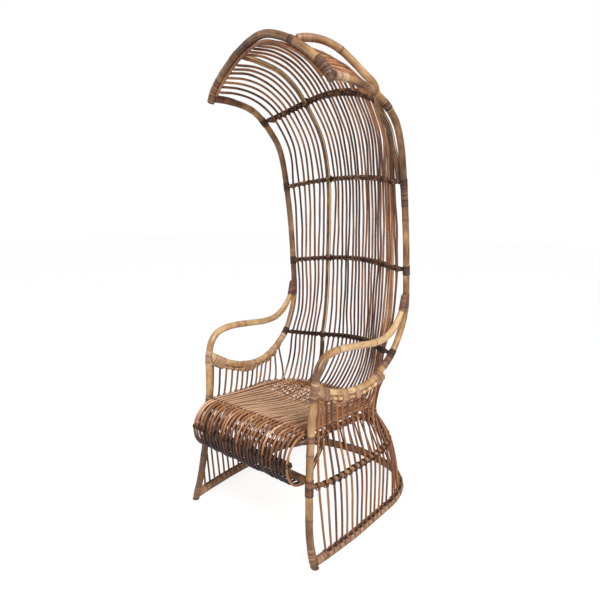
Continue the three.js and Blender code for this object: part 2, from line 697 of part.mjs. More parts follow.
// Seat's part of a rod, from the rear of the seat hoop to the front slat.
function seatLine(x) {
  const dishes = [rearDish, middleDish].map((dish) => onDish(dish, x));
  const hoopFlat = flat(seatHoopRadius, railSides);
  const hoopPoint = seatHoopAt(x).setX(x);
  hoopPoint.z += hoopFlat + rodHalf;
  const fall = hoopPoint.clone().sub(dishes[0].point);
  hoopPoint.z += hoopFlat * Math.tan(Math.PI / railSides) * Math.max(0, fall.z / fall.y);
  const front = new THREE.Vector3(x, frontPost.y, rollTop);
  const behind = front.clone().addScaledVector(back, 2 * corner(seatSlatRadius, railSides));
  return {
    points: [hoopPoint, ...dishes.map(({ point }) => point), behind, front],
    normals: [up, ...dishes.map(({ normal }) => normal), up, up],
  };
}
// Bend from the lowest band towards the seat hoop.
function bend(points, normals, hoopPoint, shares) {
  const lowest = points[points.length - 1].clone();
  shares.forEach(([wayBack, wayUp, wayOut]) => {
    points.push(new THREE.Vector3(
      THREE.MathUtils.lerp(hoopPoint.x, lowest.x, wayOut),
      THREE.MathUtils.lerp(hoopPoint.y, lowest.y, wayBack),
      THREE.MathUtils.lerp(hoopPoint.z, lowest.z, wayUp),
    ));
    normals.push(new THREE.Vector3(0, -wayUp, 1 - wayUp).normalize());
  });
}
// Where a rod bends round a band it stands off by as much as its straight pieces lean in.
function standOffBands(points, normals, count) {
  for (let i = 1; i < count; i += 1) {
    const arriving = points[i].clone().sub(points[i - 1]).normalize();
    const leaving = points[i + 1].clone().sub(points[i]).normalize();
    const turn = Math.max(0, arriving.sub(leaving).dot(normals[i]));
    points[i].addScaledVector(normals[i], (corner(bandRadius, railSides) * turn) / 2);
  }
}
function longRod(index) {
  const shares = rodShares.map((row) => row[index]);
  const { points, normals } = laidOnCage(shares, bandFlat + rodHalf);
  const rim = flat(rimRadius, railSides) + clearance;
  const leaving = tangentAt(points, 0);
  const dip = corner(longRodRadius, rodSides) * Math.sqrt(1 - leaving.y ** 2);
  points[0].addScaledVector(leaving, (rim + dip) / leaving.y);
  const x = -seatRodsHalfWidth + index * seatPitch;
  const seat = seatLine(x);
  const cageCount = points.length;
  bend(points, normals, seat.points[0], rodBendShares);
  standOffBands(points, normals, cageCount);
  points.push(
    ...seat.points,
    ...rollPoints.map((point) => point.clone().setX(x)),
    new THREE.Vector3(x, rollEndBack, rollBottom),
  );
  normals.push(...seat.normals, ...rollNormals, down);
  return tube(points, normals, longRodRadius, rodSides);
}
// Left stile: a thicker pole among the long rods, from the arch down to the seat hoop.
const leftStile = laidOnCage(leftStileShares, bandFlat + flat(leftStileRadius, railSides) + clearance);
leftStile.points[0] = archCurve.getPointAt(onArch(leftStileShares[0]));
const stileFoot = seatHoopAt(leftStile.points[leftStile.points.length - 1].x);
stileFoot.y -= seatHoopRadius / 2;
stileFoot.z -= seatHoopRadius / 4;
const stileCageCount = leftStile.points.length;
bend(leftStile.points, leftStile.normals, stileFoot, stileBendShares);
standOffBands(leftStile.points, leftStile.normals, stileCageCount);
leftStile.points.push(stileFoot);
leftStile.normals.push(up);
function leftStileTube(radius) {
  return tube(leftStile.points, leftStile.normals, radius, railSides);
}
const leftNeighbours = [
  roomyArch, rim(rimRadius + clearance), roomySeatHoop, ...rearSkirt(skirtRodRadius + clearance),
];
add('stile_left', coped(leftStileTube(leftStileRadius), leftNeighbours), colours.pole);

// Fillers: short rods that close the seat between the long ones, made fast to the middle slat.
const fillers = evenly(1, rodCount - 1, rodCount - 1).map((count) => {
  const { points, normals } = seatLine((count - 1 / 2) * seatPitch - seatRodsHalfWidth);
  points[2].addScaledVector(normals[2], -clearance - fillerSink);
  points[points.length - 1].y -= fillerOverhang;
  return tube(points, normals, longRodRadius, rodSides);
});
const seatNeighbours = [roomySeatHoop, leftStileTube(leftStileRadius + clearance)];
add('seat_slat_middle', coped(join([middleSlat, ...fillers]), seatNeighbours), colours.pole);

for (let index = 0; index < rodCount; index += 1) {
  add(`long_rod_${String(index + 1).padStart(2, '0')}`, longRod(index), colours.rod);
}

// Right stile: over the roof, past the side pole and down to the upper band.
const rightStilePoints = rightStileShares.map((shares) => place(shares));
rightStilePoints.push(onBand(bands[1], rightStileShares[rightStileShares.length - 1][0]));
const rightStileCurve = smooth(rightStilePoints);
const rightStileTube = tube(sampled(rightStileCurve, rightStileSteps), across, rightStileRadius, poleSides);
add('stile_right', coped(rightStileTube, [roomyArch, bandTube(1, bandRadius + clearance)]), colours.pole);

// The origin stands on the ground, in the middle of the footprint.
const box = new THREE.Box3().setFromObject(chair);
const middle = (box.min.y + box.max.y) / 2;
chair.children.forEach((mesh) => mesh.geometry.translate(0, -middle, -footTrim));

export default chair;
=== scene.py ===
# Hooded rattan armchair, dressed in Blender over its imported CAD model.
# Lengths are millimetres in the CAD source's own frame, as its named values are, down to the camera.
# place_in_row() turns the finished meshes into metres in the row frame.
# "Right" and "left" are as seen from the front: right is +X, the side nearer the camera.

import math

import bpy
import numpy as np
from mathutils import Matrix


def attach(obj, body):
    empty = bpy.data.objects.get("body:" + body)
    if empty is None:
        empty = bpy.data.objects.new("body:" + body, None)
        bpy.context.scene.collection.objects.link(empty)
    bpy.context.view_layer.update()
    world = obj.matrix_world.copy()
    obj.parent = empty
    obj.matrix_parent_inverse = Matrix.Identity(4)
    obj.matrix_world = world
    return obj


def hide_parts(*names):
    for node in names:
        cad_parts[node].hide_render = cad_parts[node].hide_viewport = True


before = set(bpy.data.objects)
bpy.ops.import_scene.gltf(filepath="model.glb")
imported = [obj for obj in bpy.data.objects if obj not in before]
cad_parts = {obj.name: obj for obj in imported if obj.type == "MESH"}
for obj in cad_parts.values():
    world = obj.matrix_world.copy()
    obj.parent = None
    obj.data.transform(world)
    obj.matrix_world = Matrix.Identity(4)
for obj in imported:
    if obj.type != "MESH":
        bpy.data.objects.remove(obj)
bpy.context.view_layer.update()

# Same named values as the CAD source.
CHAIR_HEIGHT = 1600
CHAIR_DEPTH = 700
BACK_HALF_WIDTH = 265
CLEARANCE = 0.3
LEG_RADIUS = 12
ARM_END_RADIUS = 8
SIDE_POLE_RADIUS = 11.5
ARCH_RADIUS = 11.8
RIM_RADIUS = 6
LEFT_STILE_RADIUS = 9
RIGHT_STILE_RADIUS = 11
BAND_RADIUS = 7.2
ARM_RAIL_RADIUS = 6.5
FLOOR_HOOP_RADIUS = 13.5
RUNNER_RADIUS = 2.6
MID_HOOP_RADIUS = 8
SEAT_HOOP_RADIUS = 8.5
BOW_RAIL_RADIUS = 8
ROLL_BAR_RADIUS = 6.5
FRONT_POLE_RADIUS = 12
BRACE_RADIUS = 6.5
SLAT_RADIUS = 4
LONG_ROD_RADIUS = 3.8
SKIRT_ROD_RADIUS = 3.6
SEAT_FRONT_HEIGHT = 400
SEAT_REAR_HEIGHT = 370
MID_HOOP_HEIGHT = 0.635 * SEAT_FRONT_HEIGHT
FRONT_SLAT_RISE = 9
MIDDLE_DISH = (190, 2, 22)
REAR_DISH = (300, 8, 34)
BESIDE_HOOP = 1.3
FOOT_TRIM = 9
ROLL_CENTRE_BACK = 20
ROLL_REACH = 70
ROLL_HALF_HEIGHT = 80
ROLL_END_BACK = 46
RODS_LEFT = 7
RODS_RIGHT = 20
ROD_COUNT = RODS_LEFT + RODS_RIGHT
SIDE_RODS = 14
REAR_RODS = 18
FOOTPRINT_MIDDLE = 322.263
POLE_SIDES = 8
RAIL_SIDES = 6
ROD_SIDES = 4

# Points of the frame's curves: shares of the back's half width, of the chair's depth, and of the
# height above the seat, or below it where negative.
SIDE_POLE = [
    (0.895, 0.075, 0.1347), (0.834, 0.172, 0.1027), (0.845, 0.293, 0.08), (0.883, 0.407, 0.0733),
    (0.921, 0.526, 0.0853), (0.951, 0.666, 0.1373), (0.974, 0.731, 0.1933), (0.992, 0.769, 0.26),
    (0.996, 0.757, 0.4173), (0.992, 0.714, 0.592), (0.996, 0.643, 0.7507), (1.004, 0.571, 0.804),
    (0.966, 0.429, 0.8533), (0.936, 0.257, 0.8667), (0.928, 0.125, 0.864),
]
LEG_POLE = [
    (1.071, 0.0, -1), (1.024, 0.0, -0.896), (0.97, 0.006, -0.75), (0.932, 0.019, -0.55),
    (0.906, 0.031, -0.35), (0.88, 0.05, 0), (0.89, 0.058, 0.0833), (0.902, 0.065, 0.1373),
    (0.902, 0.083, 0.176), (0.905, 0.126, 0.2), (0.91, 0.214, 0.2093), (0.932, 0.371, 0.2033),
    (0.955, 0.5, 0.1967), (0.974, 0.6, 0.2027), (0.985, 0.683, 0.23),
]
ARM_SPLICE = (0.2787, 0.308)
ARM_TAPER = 0.9
ARCH = [
    (0.932, 0.125, 0.852), (0.884, 0.125, 0.874), (0.785, 0.122, 0.898), (0.562, 0.117, 0.936),
    (0.31, 0.113, 0.9667), (0, 0.111, 0.9847),
]
# Height of each band's ends, bow, rise and roundness.
BANDS = [
    ("cross_band_top", 0.8307, 0.134, 0.076, 0.39),
    ("cross_band_upper", 0.6373, 0.14, 0.0293, 1.16),
    ("cross_band_middle", 0.388, 0.099, 0.0187, 1.81),
    ("cross_band_lower", 0.1413, 0.236, -0.012, 1.45),
]
# Cage of long rods: its stations between the levels of the rim and the four bands, and where the
# stile and the outer rods cross each level, as shares of the level's half width.
CAGE_STEPS = [(0.28, 0.56, 0.8), (0.5,), (0.5,), (0.33, 0.67)]
ROOF_RISE = 0.024
MIDDLE_FOLLOWS = (1, 1, 1, 0)
LEFT_STILE = (-0.41, -0.4775, -0.4075, -0.4225, -0.53)
LEFT_EDGE = (-0.9, -0.9, -0.9, -0.9, -0.9)
RIGHT_EDGE = (0.9, 0.84, 0.84, 0.88, 0.85)
BESIDE_STILE = 0.087
RIM_SPAN = 0.464
RIM_START = 0.05
RIGHT_STILE = [
    (0.438, 0.114, 0.9573), (0.528, 0.169, 0.9633), (0.626, 0.231, 0.9608), (0.717, 0.289, 0.9467),
    (0.8, 0.34, 0.9227), (0.875, 0.386, 0.8973), (0.936, 0.431, 0.8753), (0.898, 0.486, 0.85),
    (0.875, 0.512, 0.8307), (0.875, 0.545, 0.8147), (0.894, 0.596, 0.784), (0.898, 0.653, 0.7253),
    (0.9, 0.69, 0.688),
]
# Bends into the seat, the front roll and the bow rail: shares of the way back, up and out.
ROD_BENDS = [(0.8, 0.55, 0.85), (0.4, 0.2, 0.4)]
STILE_BENDS = [(0.92, 0.5, 1), (0.6, 0.15, 1)]
ROLL_STEPS = (0, 0.1, 0.2, 0.3, 0.42, 0.52, 0.66, 0.82, 1)
BOW_RAIL_STEP = 2
ROLL_BAR_STEP = 4
BOW = [(0.81, 0.39, 0.64), (0.7, 0.14, 0.24), (0.58, 0.03, 0.05), (0.46, 0, 0), (0.3, 0, 0)]
# Hoops of the skirt: shares of the back's half width and of the chair's depth.
SEAT_WAIST = 0.853
SEAT_HOOP = [
    (0.88, 0.055), (0.86, 0.14), (SEAT_WAIST, 0.27), (0.87, 0.4), (0.9, 0.5), (0.872, 0.55),
    (0.765, 0.598), (0.6, 0.637), (0.302, 0.672), (0, 0.683),
]
MID_HOOP = [
    (0.94, 0.03), (1.019, 0.1), (1.06, 0.243), (1.079, 0.414), (1.072, 0.543),
    (1.019, 0.614), (0.917, 0.679), (0.755, 0.736), (0.415, 0.779), (0, 0.793),
]
FLOOR_HOOP = [
    (1.064, 0.01), (1.09, 0.1), (1.108, 0.186), (1.126, 0.279), (1.13, 0.374), (1.134, 0.52),
    (1.13, 0.636), (1.09, 0.722), (1.004, 0.799), (0.85, 0.873), (0.64, 0.93), (0.42, 0.956),
    (0.21, 0.97), (0, 0.978),
]
# Shares along the rail and the hoops between which the side rods stand.
ARM_RAIL_RODS = (0.055, 0.93)
SEAT_HOOP_RODS = (0.014, 0.312)
MID_HOOP_RODS = (0.013, 0.252)
FLOOR_HOOP_RODS = (0.0245, 0.222)
ARM_RAIL_END = 0.1227
ARM_RAIL_LEAN = 0.1 * math.pi
BRACE_FOOT = -0.276
BRACE_HEAD = 0.194

ACROSS = np.array([1.0, 0.0, 0.0])
BACK = np.array([0.0, 1.0, 0.0])
UP = np.array([0.0, 0.0, 1.0])
HANDS = (("right", 1), ("left", -1))
random = np.random.RandomState(7)


# Geometry helpers, as in the CAD source.
def unit(vector):
    vector = np.asarray(vector, float)
    return vector / np.linalg.norm(vector, axis=-1, keepdims=True)


def pointing(vector, way):
    """Unit vector along another one or against it, whichever goes more the given way."""
    vector = unit(vector)
    return -vector if np.dot(vector, way) < 0 else vector


def flat(radius, sides):
    """Reach to the flats of a polygon with the area of a circle of this radius."""
    return radius * math.sqrt(math.pi / (sides * math.tan(math.pi / sides)))


def corner(radius, sides):
    """Reach to the corners of the same polygon."""
    return flat(radius, sides) / math.cos(math.pi / sides)


HOOD_RISE = CHAIR_HEIGHT - SEAT_FRONT_HEIGHT
SEAT_RODS_HALF_WIDTH = (
    SEAT_WAIST * BACK_HALF_WIDTH
    - corner(SEAT_HOOP_RADIUS, RAIL_SIDES) - flat(LONG_ROD_RADIUS, ROD_SIDES) - BESIDE_HOOP
)


def height_at(share):
    return SEAT_FRONT_HEIGHT + share * (SEAT_FRONT_HEIGHT if share < 0 else HOOD_RISE)


def place(shares, side=1):
    x, y, z = shares
    return np.array([side * x * BACK_HALF_WIDTH, y * CHAIR_DEPTH, height_at(z)])


def mirrored(points):
    """Half a line of points and its mirror image, up to a last point in the middle."""
    return points + [p * (-1, 1, 1) for p in points[-2::-1]]


def place_in_row(points):
    return (np.asarray(points, float) - [0, FOOTPRINT_MIDDLE, FOOT_TRIM]) * 0.001


def lengths_along(points):
    """Length of a line of points up to each of them."""
    return np.concatenate([[0], np.cumsum(np.linalg.norm(np.diff(points, axis=0), axis=1))])


def resampled(where, places, points):
    """Points of a line at other places along it."""
    return np.stack([np.interp(where, places, points[:, k]) for k in range(3)], -1)


class Smooth:
    """Centripetal Catmull-Rom curve, measured by its length."""

    def __init__(self, points, per_span=60):
        points = np.asarray(points, float)
        first = 2 * points[0] - points[1]
        last = 2 * points[-1] - points[-2]
        padded = np.vstack([first, points, last])
        dense = []
        for i in range(len(points) - 1):
            p0, p1, p2, p3 = padded[i:i + 4]
            legs = np.linalg.norm(np.diff([p0, p1, p2, p3], axis=0), axis=1)
            d0, d1, d2 = np.maximum(legs, 1e-6) ** 0.5
            m1 = ((p1 - p0) / d0 - (p2 - p0) / (d0 + d1) + (p2 - p1) / d1) * d1
            m2 = ((p2 - p1) / d1 - (p3 - p1) / (d1 + d2) + (p3 - p2) / d2) * d1
            t = np.linspace(0, 1, per_span, endpoint=False)[:, None]
            dense.append(
                p1 + m1 * t + (3 * (p2 - p1) - 2 * m1 - m2) * t ** 2 + (2 * (p1 - p2) + m1 + m2) * t ** 3
            )
        dense.append(points[-1:])
        self.dense = np.vstack(dense)
        self.lengths = lengths_along(self.dense)
        self.length = self.lengths[-1]

    def at(self, share):
        return resampled(np.asarray(share, float) * self.length, self.lengths, self.dense)

    def tangent(self, share):
        share = np.asarray(share, float)
        step = 0.5 / self.length
        return unit(self.at(np.minimum(1, share + step)) - self.at(np.maximum(0, share - step)))

    def where(self, measure, value, low, high):
        """Share between two others at which a measure of the point has the value."""
        rising = measure(self.at(high)) > measure(self.at(low))
        for _ in range(30):
            middle = (low + high) / 2
            if (measure(self.at(middle)) < value) == rising:
                low = middle
            else:
                high = middle
        return (low + high) / 2

    def stretch(self, low, high, spacing):
        """Evenly spaced points from one share to another."""
        count = max(3, int(math.ceil(abs(high - low) * self.length / spacing)) + 1)
        return self.at(np.linspace(low, high, count))


def part_way(value, start, end):
    """0 before the start, 1 beyond the end, and even in between."""
    return np.clip((value - start) / (end - start), 0, 1)


def tangents_of(points):
    legs = unit(np.diff(points, axis=0))
    inner = unit(legs[:-1] + legs[1:])
    return np.vstack([legs[:1], inner, legs[-1:]])


# Frame curves.
def side_pole_curve(side):
    return Smooth([place(shares, side) for shares in SIDE_POLE])


right_side = side_pole_curve(1)


def side_share_at(height):
    return right_side.where(lambda p: p[2], height, 0.2, 0.86)


def side_pole_at(height):
    return right_side.at(side_share_at(height))


def leg_pole_curve(side):
    points = [place(shares, side) for shares in LEG_POLE]
    reach = corner(ARM_END_RADIUS, POLE_SIDES) + corner(SIDE_POLE_RADIUS, POLE_SIDES) + CLEARANCE
    for share in ARM_SPLICE:
        point = side_pole_at(height_at(share)) - BACK * reach
        point[0] *= side
        points.append(point)
    return Smooth(points)


right_leg = leg_pole_curve(1)


def leg_pole_at(height):
    return right_leg.at(right_leg.where(lambda p: p[2], height, 0, 0.42))


arch_curve = Smooth(mirrored([place(shares) for shares in ARCH]))
rim_offset = corner(ARCH_RADIUS, POLE_SIDES) + corner(RIM_RADIUS, RAIL_SIDES) + CLEARANCE


def rim_point(share):
    inward = pointing(np.cross(arch_curve.tangent(share), BACK), -UP)
    return arch_curve.at(share) + inward * rim_offset


def on_arch(s):
    return 0.5 - s * RIM_SPAN


def on_band(k, s):
    _, height, bow, rise, roundness = BANDS[k]
    end = side_pole_at(height_at(height))
    fall = roundness * s ** 2 + (1 - roundness) * s ** 4
    out = bow * CHAIR_DEPTH * (1 - fall)
    return np.array([end[0] * s, end[1] + out, end[2] + rise * HOOD_RISE * (1 - s ** 2)])


def rod_shares_at(level):
    stile = LEFT_STILE[level]
    left = np.linspace(LEFT_EDGE[level], stile - BESIDE_STILE, RODS_LEFT)
    right = np.linspace(stile + BESIDE_STILE, RIGHT_EDGE[level], RODS_RIGHT)
    return np.concatenate([left, right])


rod_shares = [rod_shares_at(level) for level in range(5)]


def crossings_at(level):
    return np.sort(np.append(rod_shares[level], LEFT_STILE[level]))


def band_vertices_at(level):
    crossed = crossings_at(level)
    between = (crossed[1:] + crossed[:-1]) / 2
    outer = (2 * crossed[0] - between[0], 2 * crossed[-1] - between[-1])
    return np.concatenate([[-1, outer[0]], between, [outer[1], 1]])


band_vertices = [band_vertices_at(level) for level in (1, 2, 3, 4)]


def on_band_piece(level, s):
    vertices = band_vertices[level - 1]
    i = int(np.argmax(vertices > s))
    start, end = on_band(level - 1, vertices[i - 1]), on_band(level - 1, vertices[i])
    t = (s - vertices[i - 1]) / (vertices[i] - vertices[i - 1])
    return start + (end - start) * t, unit(end - start)


pole_places = [1] + [side_share_at(height_at(band[1])) for band in BANDS]


def departure(level, t, s):
    start, end = pole_places[level], pole_places[level + 1]
    chord = right_side.at(start) * (1 - t) + right_side.at(end) * t
    following = MIDDLE_FOLLOWS[level] + (1 - MIDDLE_FOLLOWS[level]) * s ** 2
    whole = right_side.at(start + (end - start) * t) - chord
    whole[0] = 0
    return whole * following


def laid_on_cage(shares, offset):
    """Stations of a rod on the sitter's side of the bands, with their normals and levels."""
    stations = [(rim_point(on_arch(shares[0])), ACROSS, 0)]
    for level, steps in enumerate(CAGE_STEPS):
        here, here_along, _ = stations[-1]
        point, along = on_band_piece(level + 1, shares[level + 1])
        for t in steps:
            rise = 0
            if level == 0:
                rise = ROOF_RISE * HOOD_RISE * math.sin(math.pi * t) * (1 - shares[1] ** 4)
            station = here + (point - here) * t + departure(level, t, shares[level + 1]) + UP * rise
            stations.append((station, unit(here_along * (1 - t) + along * t), level + t))
        stations.append((point, along, level + 1))
    base = np.array([s[0] for s in stations])
    normals = unit(np.cross(tangents_of(base), np.array([s[1] for s in stations])))
    levels = np.array([s[2] for s in stations])
    points = base + normals * (offset * np.minimum(1, levels))[:, None]
    return points, normals, levels


def hoop_curve(shares, front_height, rear_height):
    rear = shares[-1][1]
    rise = rear_height - front_height
    return Smooth(mirrored([
        np.array([x * BACK_HALF_WIDTH, y * CHAIR_DEPTH, front_height + rise * max(0, y) / rear])
        for x, y in shares
    ]))


runner_drop = flat(RUNNER_RADIUS, ROD_SIDES) + CLEARANCE + flat(FLOOR_HOOP_RADIUS, POLE_SIDES)
floor_height = FOOT_TRIM + flat(RUNNER_RADIUS, ROD_SIDES) + runner_drop
seat_hoop = hoop_curve(SEAT_HOOP, SEAT_FRONT_HEIGHT, SEAT_REAR_HEIGHT)
mid_hoop = hoop_curve(MID_HOOP, MID_HOOP_HEIGHT, MID_HOOP_HEIGHT)
floor_hoop = hoop_curve(FLOOR_HOOP, floor_height, floor_height)


def skirt_shares(first, last):
    side = np.linspace(first, last, SIDE_RODS)
    rear = np.linspace(last, 1 - last, REAR_RODS + 2)[1:-1]
    return np.concatenate([side, rear, (1 - side)[::-1]])


seat_places = skirt_shares(*SEAT_HOOP_RODS)
mid_places = skirt_shares(*MID_HOOP_RODS)
floor_places = skirt_shares(*FLOOR_HOOP_RODS)


skirt_rails = ((seat_hoop, seat_places, SEAT_HOOP_RADIUS), (mid_hoop, mid_places, MID_HOOP_RADIUS))


def outward_of(curve, share):
    return unit(np.cross(curve.tangent(share), UP))


def arm_rail_curve(side):
    reach = corner(SIDE_POLE_RADIUS, POLE_SIDES) + corner(ARM_RAIL_RADIUS, RAIL_SIDES) + CLEARANCE
    points = []
    for share in np.linspace(0, side_share_at(height_at(ARM_RAIL_END)), 15):
        tangent = right_side.tangent(share)
        below = unit(-UP + tangent * UP.dot(tangent))
        outward = pointing(np.cross(tangent, below), ACROSS)
        point = right_side.at(share) + below * reach * math.cos(ARM_RAIL_LEAN)
        point = point + outward * reach * math.sin(ARM_RAIL_LEAN)
        point[0] *= side
        points.append(point)
    return Smooth(points)


arm_rails = {side: arm_rail_curve(side) for _, side in HANDS}


def skirt_rod_points(index, top=None):
    """Centreline of a skirt rod, from the arm rail or the seat hoop down to the floor hoop."""
    reach = flat(SKIRT_ROD_RADIUS, ROD_SIDES) + CLEARANCE
    seat, mid = (
        hoop.at(places[index]) + outward_of(hoop, places[index]) * (corner(radius, RAIL_SIDES) + reach)
        for hoop, places, radius in skirt_rails
    )
    foot = floor_hoop.at(floor_places[index])
    if top is None:
        return np.array([seat + UP * 4, mid, foot])
    return np.array([top, seat, mid, foot])


roll_top = SEAT_FRONT_HEIGHT + FRONT_SLAT_RISE
roll_bottom = roll_top - 2 * ROLL_HALF_HEIGHT


def roll_point(x, share, reach=ROLL_REACH, half_height=ROLL_HALF_HEIGHT, top=roll_top):
    """Point at a share of the way round the front roll."""
    angle = share * math.pi
    return x, ROLL_CENTRE_BACK - reach * math.sin(angle), top - half_height * (1 - math.cos(angle))


roll_points = np.array([roll_point(0, share) for share in ROLL_STEPS])


def inside_roll(step, reach):
    start, end = roll_points[step], roll_points[step + 1]
    inward = pointing(np.cross(ACROSS, unit(end - start)), BACK)
    return (start + end) / 2 + inward * reach


rod_half = flat(LONG_ROD_RADIUS, ROD_SIDES) + CLEARANCE
band_flat = flat(BAND_RADIUS, RAIL_SIDES)
front_post = leg_pole_at(SEAT_FRONT_HEIGHT)
slat_drop = rod_half + flat(SLAT_RADIUS, RAIL_SIDES)
seat_pitch = 2 * SEAT_RODS_HALF_WIDTH / (ROD_COUNT - 1)


def dished(dish, x):
    way_back, drop, sag = dish
    share = min(1, abs(x) / SEAT_RODS_HALF_WIDTH)
    return np.array([x, way_back, SEAT_FRONT_HEIGHT - drop - sag * (1 - share ** 2)])


def seat_rod_x(index):
    return index * seat_pitch - SEAT_RODS_HALF_WIDTH


def seat_hoop_share(x):
    return seat_hoop.where(lambda p: p[0], x, 0.25, 0.75)


def seat_hoop_at(x):
    return seat_hoop.at(seat_hoop_share(x))


def seat_line(x):
    """Seat's part of a rod, from the rear of the seat hoop to the front slat."""
    rear, middle = dished(REAR_DISH, x), dished(MIDDLE_DISH, x)
    hoop_flat = flat(SEAT_HOOP_RADIUS, RAIL_SIDES)
    hoop_point = seat_hoop_at(x)
    hoop_point = np.array([x, hoop_point[1], hoop_point[2] + hoop_flat + rod_half])
    fall = hoop_point - rear
    hoop_point[2] += hoop_flat * math.tan(math.pi / RAIL_SIDES) * max(0, fall[2] / fall[1])
    front = np.array([x, front_post[1], roll_top])
    behind = front + BACK * 2 * corner(SLAT_RADIUS, RAIL_SIDES)
    return np.array([hoop_point, rear, middle, behind, front])


def bends(lowest, hoop_point, shares):
    return np.array([
        hoop_point + (lowest - hoop_point) * (out, way_back, way_up) for way_back, way_up, out in shares
    ])


def long_rod_points(index):
    shares = [row[index] for row in rod_shares]
    points, _, _ = laid_on_cage(shares, band_flat + rod_half)
    leaving = unit(points[1] - points[0])
    start = flat(RIM_RADIUS, RAIL_SIDES) + CLEARANCE
    points[0] = points[0] + leaving * start / leaving[1]
    x = seat_rod_x(index)
    seat = seat_line(x)
    roll = roll_points + [x, 0, 0]
    end = np.array([[x, ROLL_END_BACK, roll_bottom]])
    return np.vstack([points, bends(points[-1], seat[0], ROD_BENDS), seat, roll, end])


# Mesh making.
def around(normals, laterals, sides):
    """Directions round every point of a line, and their angles."""
    angle = np.arange(sides) / sides * 2 * math.pi
    cosines, sines = np.cos(angle)[None, :, None], np.sin(angle)[None, :, None]
    return normals[:, None] * cosines + laterals[:, None] * sines, angle


def for_points(value, n, m):
    """Value of each point of n rings of m points, from one for all, one a ring or one a point."""
    if np.ndim(value) == 1:
        return np.repeat(value, m)
    return np.broadcast_to(np.asarray(value, float), (n, m)).reshape(-1)


class Piece:
    """Collects tubes, with what the materials need to know about each point."""

    def __init__(self, name):
        self.name = name
        self.verts, self.quads, self.caps = [], [], []
        self.skin, self.tone, self.dark_lines_and_painted_shade = [], [], []
        self.count = 0

    def rings(self, rings, along, tone, dark_lines_and_painted_shade, closed=False):
        """Adds a tube from an array of rings of points."""
        n, m = rings.shape[:2]
        angle = np.arange(m) / m * 2 * math.pi
        offset = random.uniform(0, 50)
        skin = np.zeros((n, m, 3))
        skin[..., 0] = np.cos(angle)
        skin[..., 1] = np.sin(angle)
        skin[..., 2] = along[:, None] * 0.001 + offset
        self.skin.append(skin.reshape(-1, 3))
        self.tone.append(for_points(tone, n, m))
        self.dark_lines_and_painted_shade.append(for_points(dark_lines_and_painted_shade, n, m))
        self.verts.append(rings.reshape(-1, 3))
        rows = n if closed else n - 1
        i = np.arange(rows)[:, None]
        k = np.arange(m)[None, :]
        a = self.count + i * m + k
        b = self.count + i * m + (k + 1) % m
        c = self.count + ((i + 1) % n) * m + (k + 1) % m
        d = self.count + ((i + 1) % n) * m + k
        self.quads.append(np.stack([a, b, c, d], -1).reshape(-1, 4))
        if not closed:
            self.caps.append([self.count + k for k in range(m)][::-1])
            self.caps.append([self.count + (n - 1) * m + k for k in range(m)])
        self.count += n * m

    def tube(self, points, radius, sides, tone=None, dark_lines_and_painted_shade=0.0, closed=False, facing=None,
             lowest=None, painted_crease_shade=None):
        """Adds a tube along a line, cut off at a lowest height, with painted shade in the creases along
        its two sides.
        """
        points = np.asarray(points, float)
        radius = np.broadcast_to(np.asarray(radius, float), (len(points),))
        if tone is None:
            tone = random.uniform(0, 1)
        if not closed:
            points, radius, tone, dark_lines_and_painted_shade, painted_crease_shade = domed(points, radius, tone, dark_lines_and_painted_shade, painted_crease_shade)
        outward, angle = around(*carried_frames(points, closed, facing), sides)
        rings = points[:, None] + radius[:, None, None] * outward
        if lowest is not None:
            rings[..., 2] = np.maximum(rings[..., 2], lowest)
        # Painted shade: darker towards the tube's two sides, in the creases beside it.
        if painted_crease_shade is not None:
            dark_lines_and_painted_shade = np.maximum(painted_crease_shade[:, None] * np.abs(np.sin(angle))[None, :] ** 3, 0)
        self.rings(rings, lengths_along(points), tone, dark_lines_and_painted_shade, closed)

    def build(self, material, slot, nodes=()):
        """Makes the object, in place of the solids of the named nodes."""
        verts = place_in_row(np.vstack(self.verts))
        quads = np.vstack(self.quads)
        mesh = bpy.data.meshes.new(self.name)
        mesh.from_pydata(verts.tolist(), [], quads.tolist() + self.caps)
        for title, kind, values in (
            ("skin", "FLOAT_VECTOR", np.vstack(self.skin)),
            ("tone", "FLOAT", np.concatenate(self.tone)),
            ("dark_lines_and_painted_shade", "FLOAT", np.concatenate(self.dark_lines_and_painted_shade)),
        ):
            attribute = mesh.attributes.new(title, kind, "POINT")
            attribute.data.foreach_set("vector" if kind == "FLOAT_VECTOR" else "value", values.ravel())
        mesh.polygons.foreach_set("use_smooth", np.ones(len(mesh.polygons), bool))
        mesh.update()
        mesh.materials.append(material)
        piece = bpy.data.objects.new(self.name, mesh)
        bpy.context.scene.collection.objects.link(piece)
        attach(piece, "root")
        if nodes:
            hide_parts(*nodes)


def domed(points, radius, *values):
    """Rounds a tube's ends off, a little past the ends of its line."""
    start, end = unit(points[0] - points[1]), unit(points[-1] - points[-2])
    r0, r1 = radius[0], radius[-1]
    head = [points[0] + start * r0 * 0.3, points[0] + start * r0 * 0.22]
    tail = [points[-1] + end * r1 * 0.22, points[-1] + end * r1 * 0.3]
    points = np.vstack([head, points, tail])
    radius = np.concatenate([[r0 * 0.45, r0 * 0.82], radius, [r1 * 0.82, r1 * 0.45]])
    longer = [
        np.concatenate([[value[0]] * 2, value, [value[-1]] * 2]) if np.ndim(value) == 1 else value
        for value in values
    ]
    return points, radius, *longer


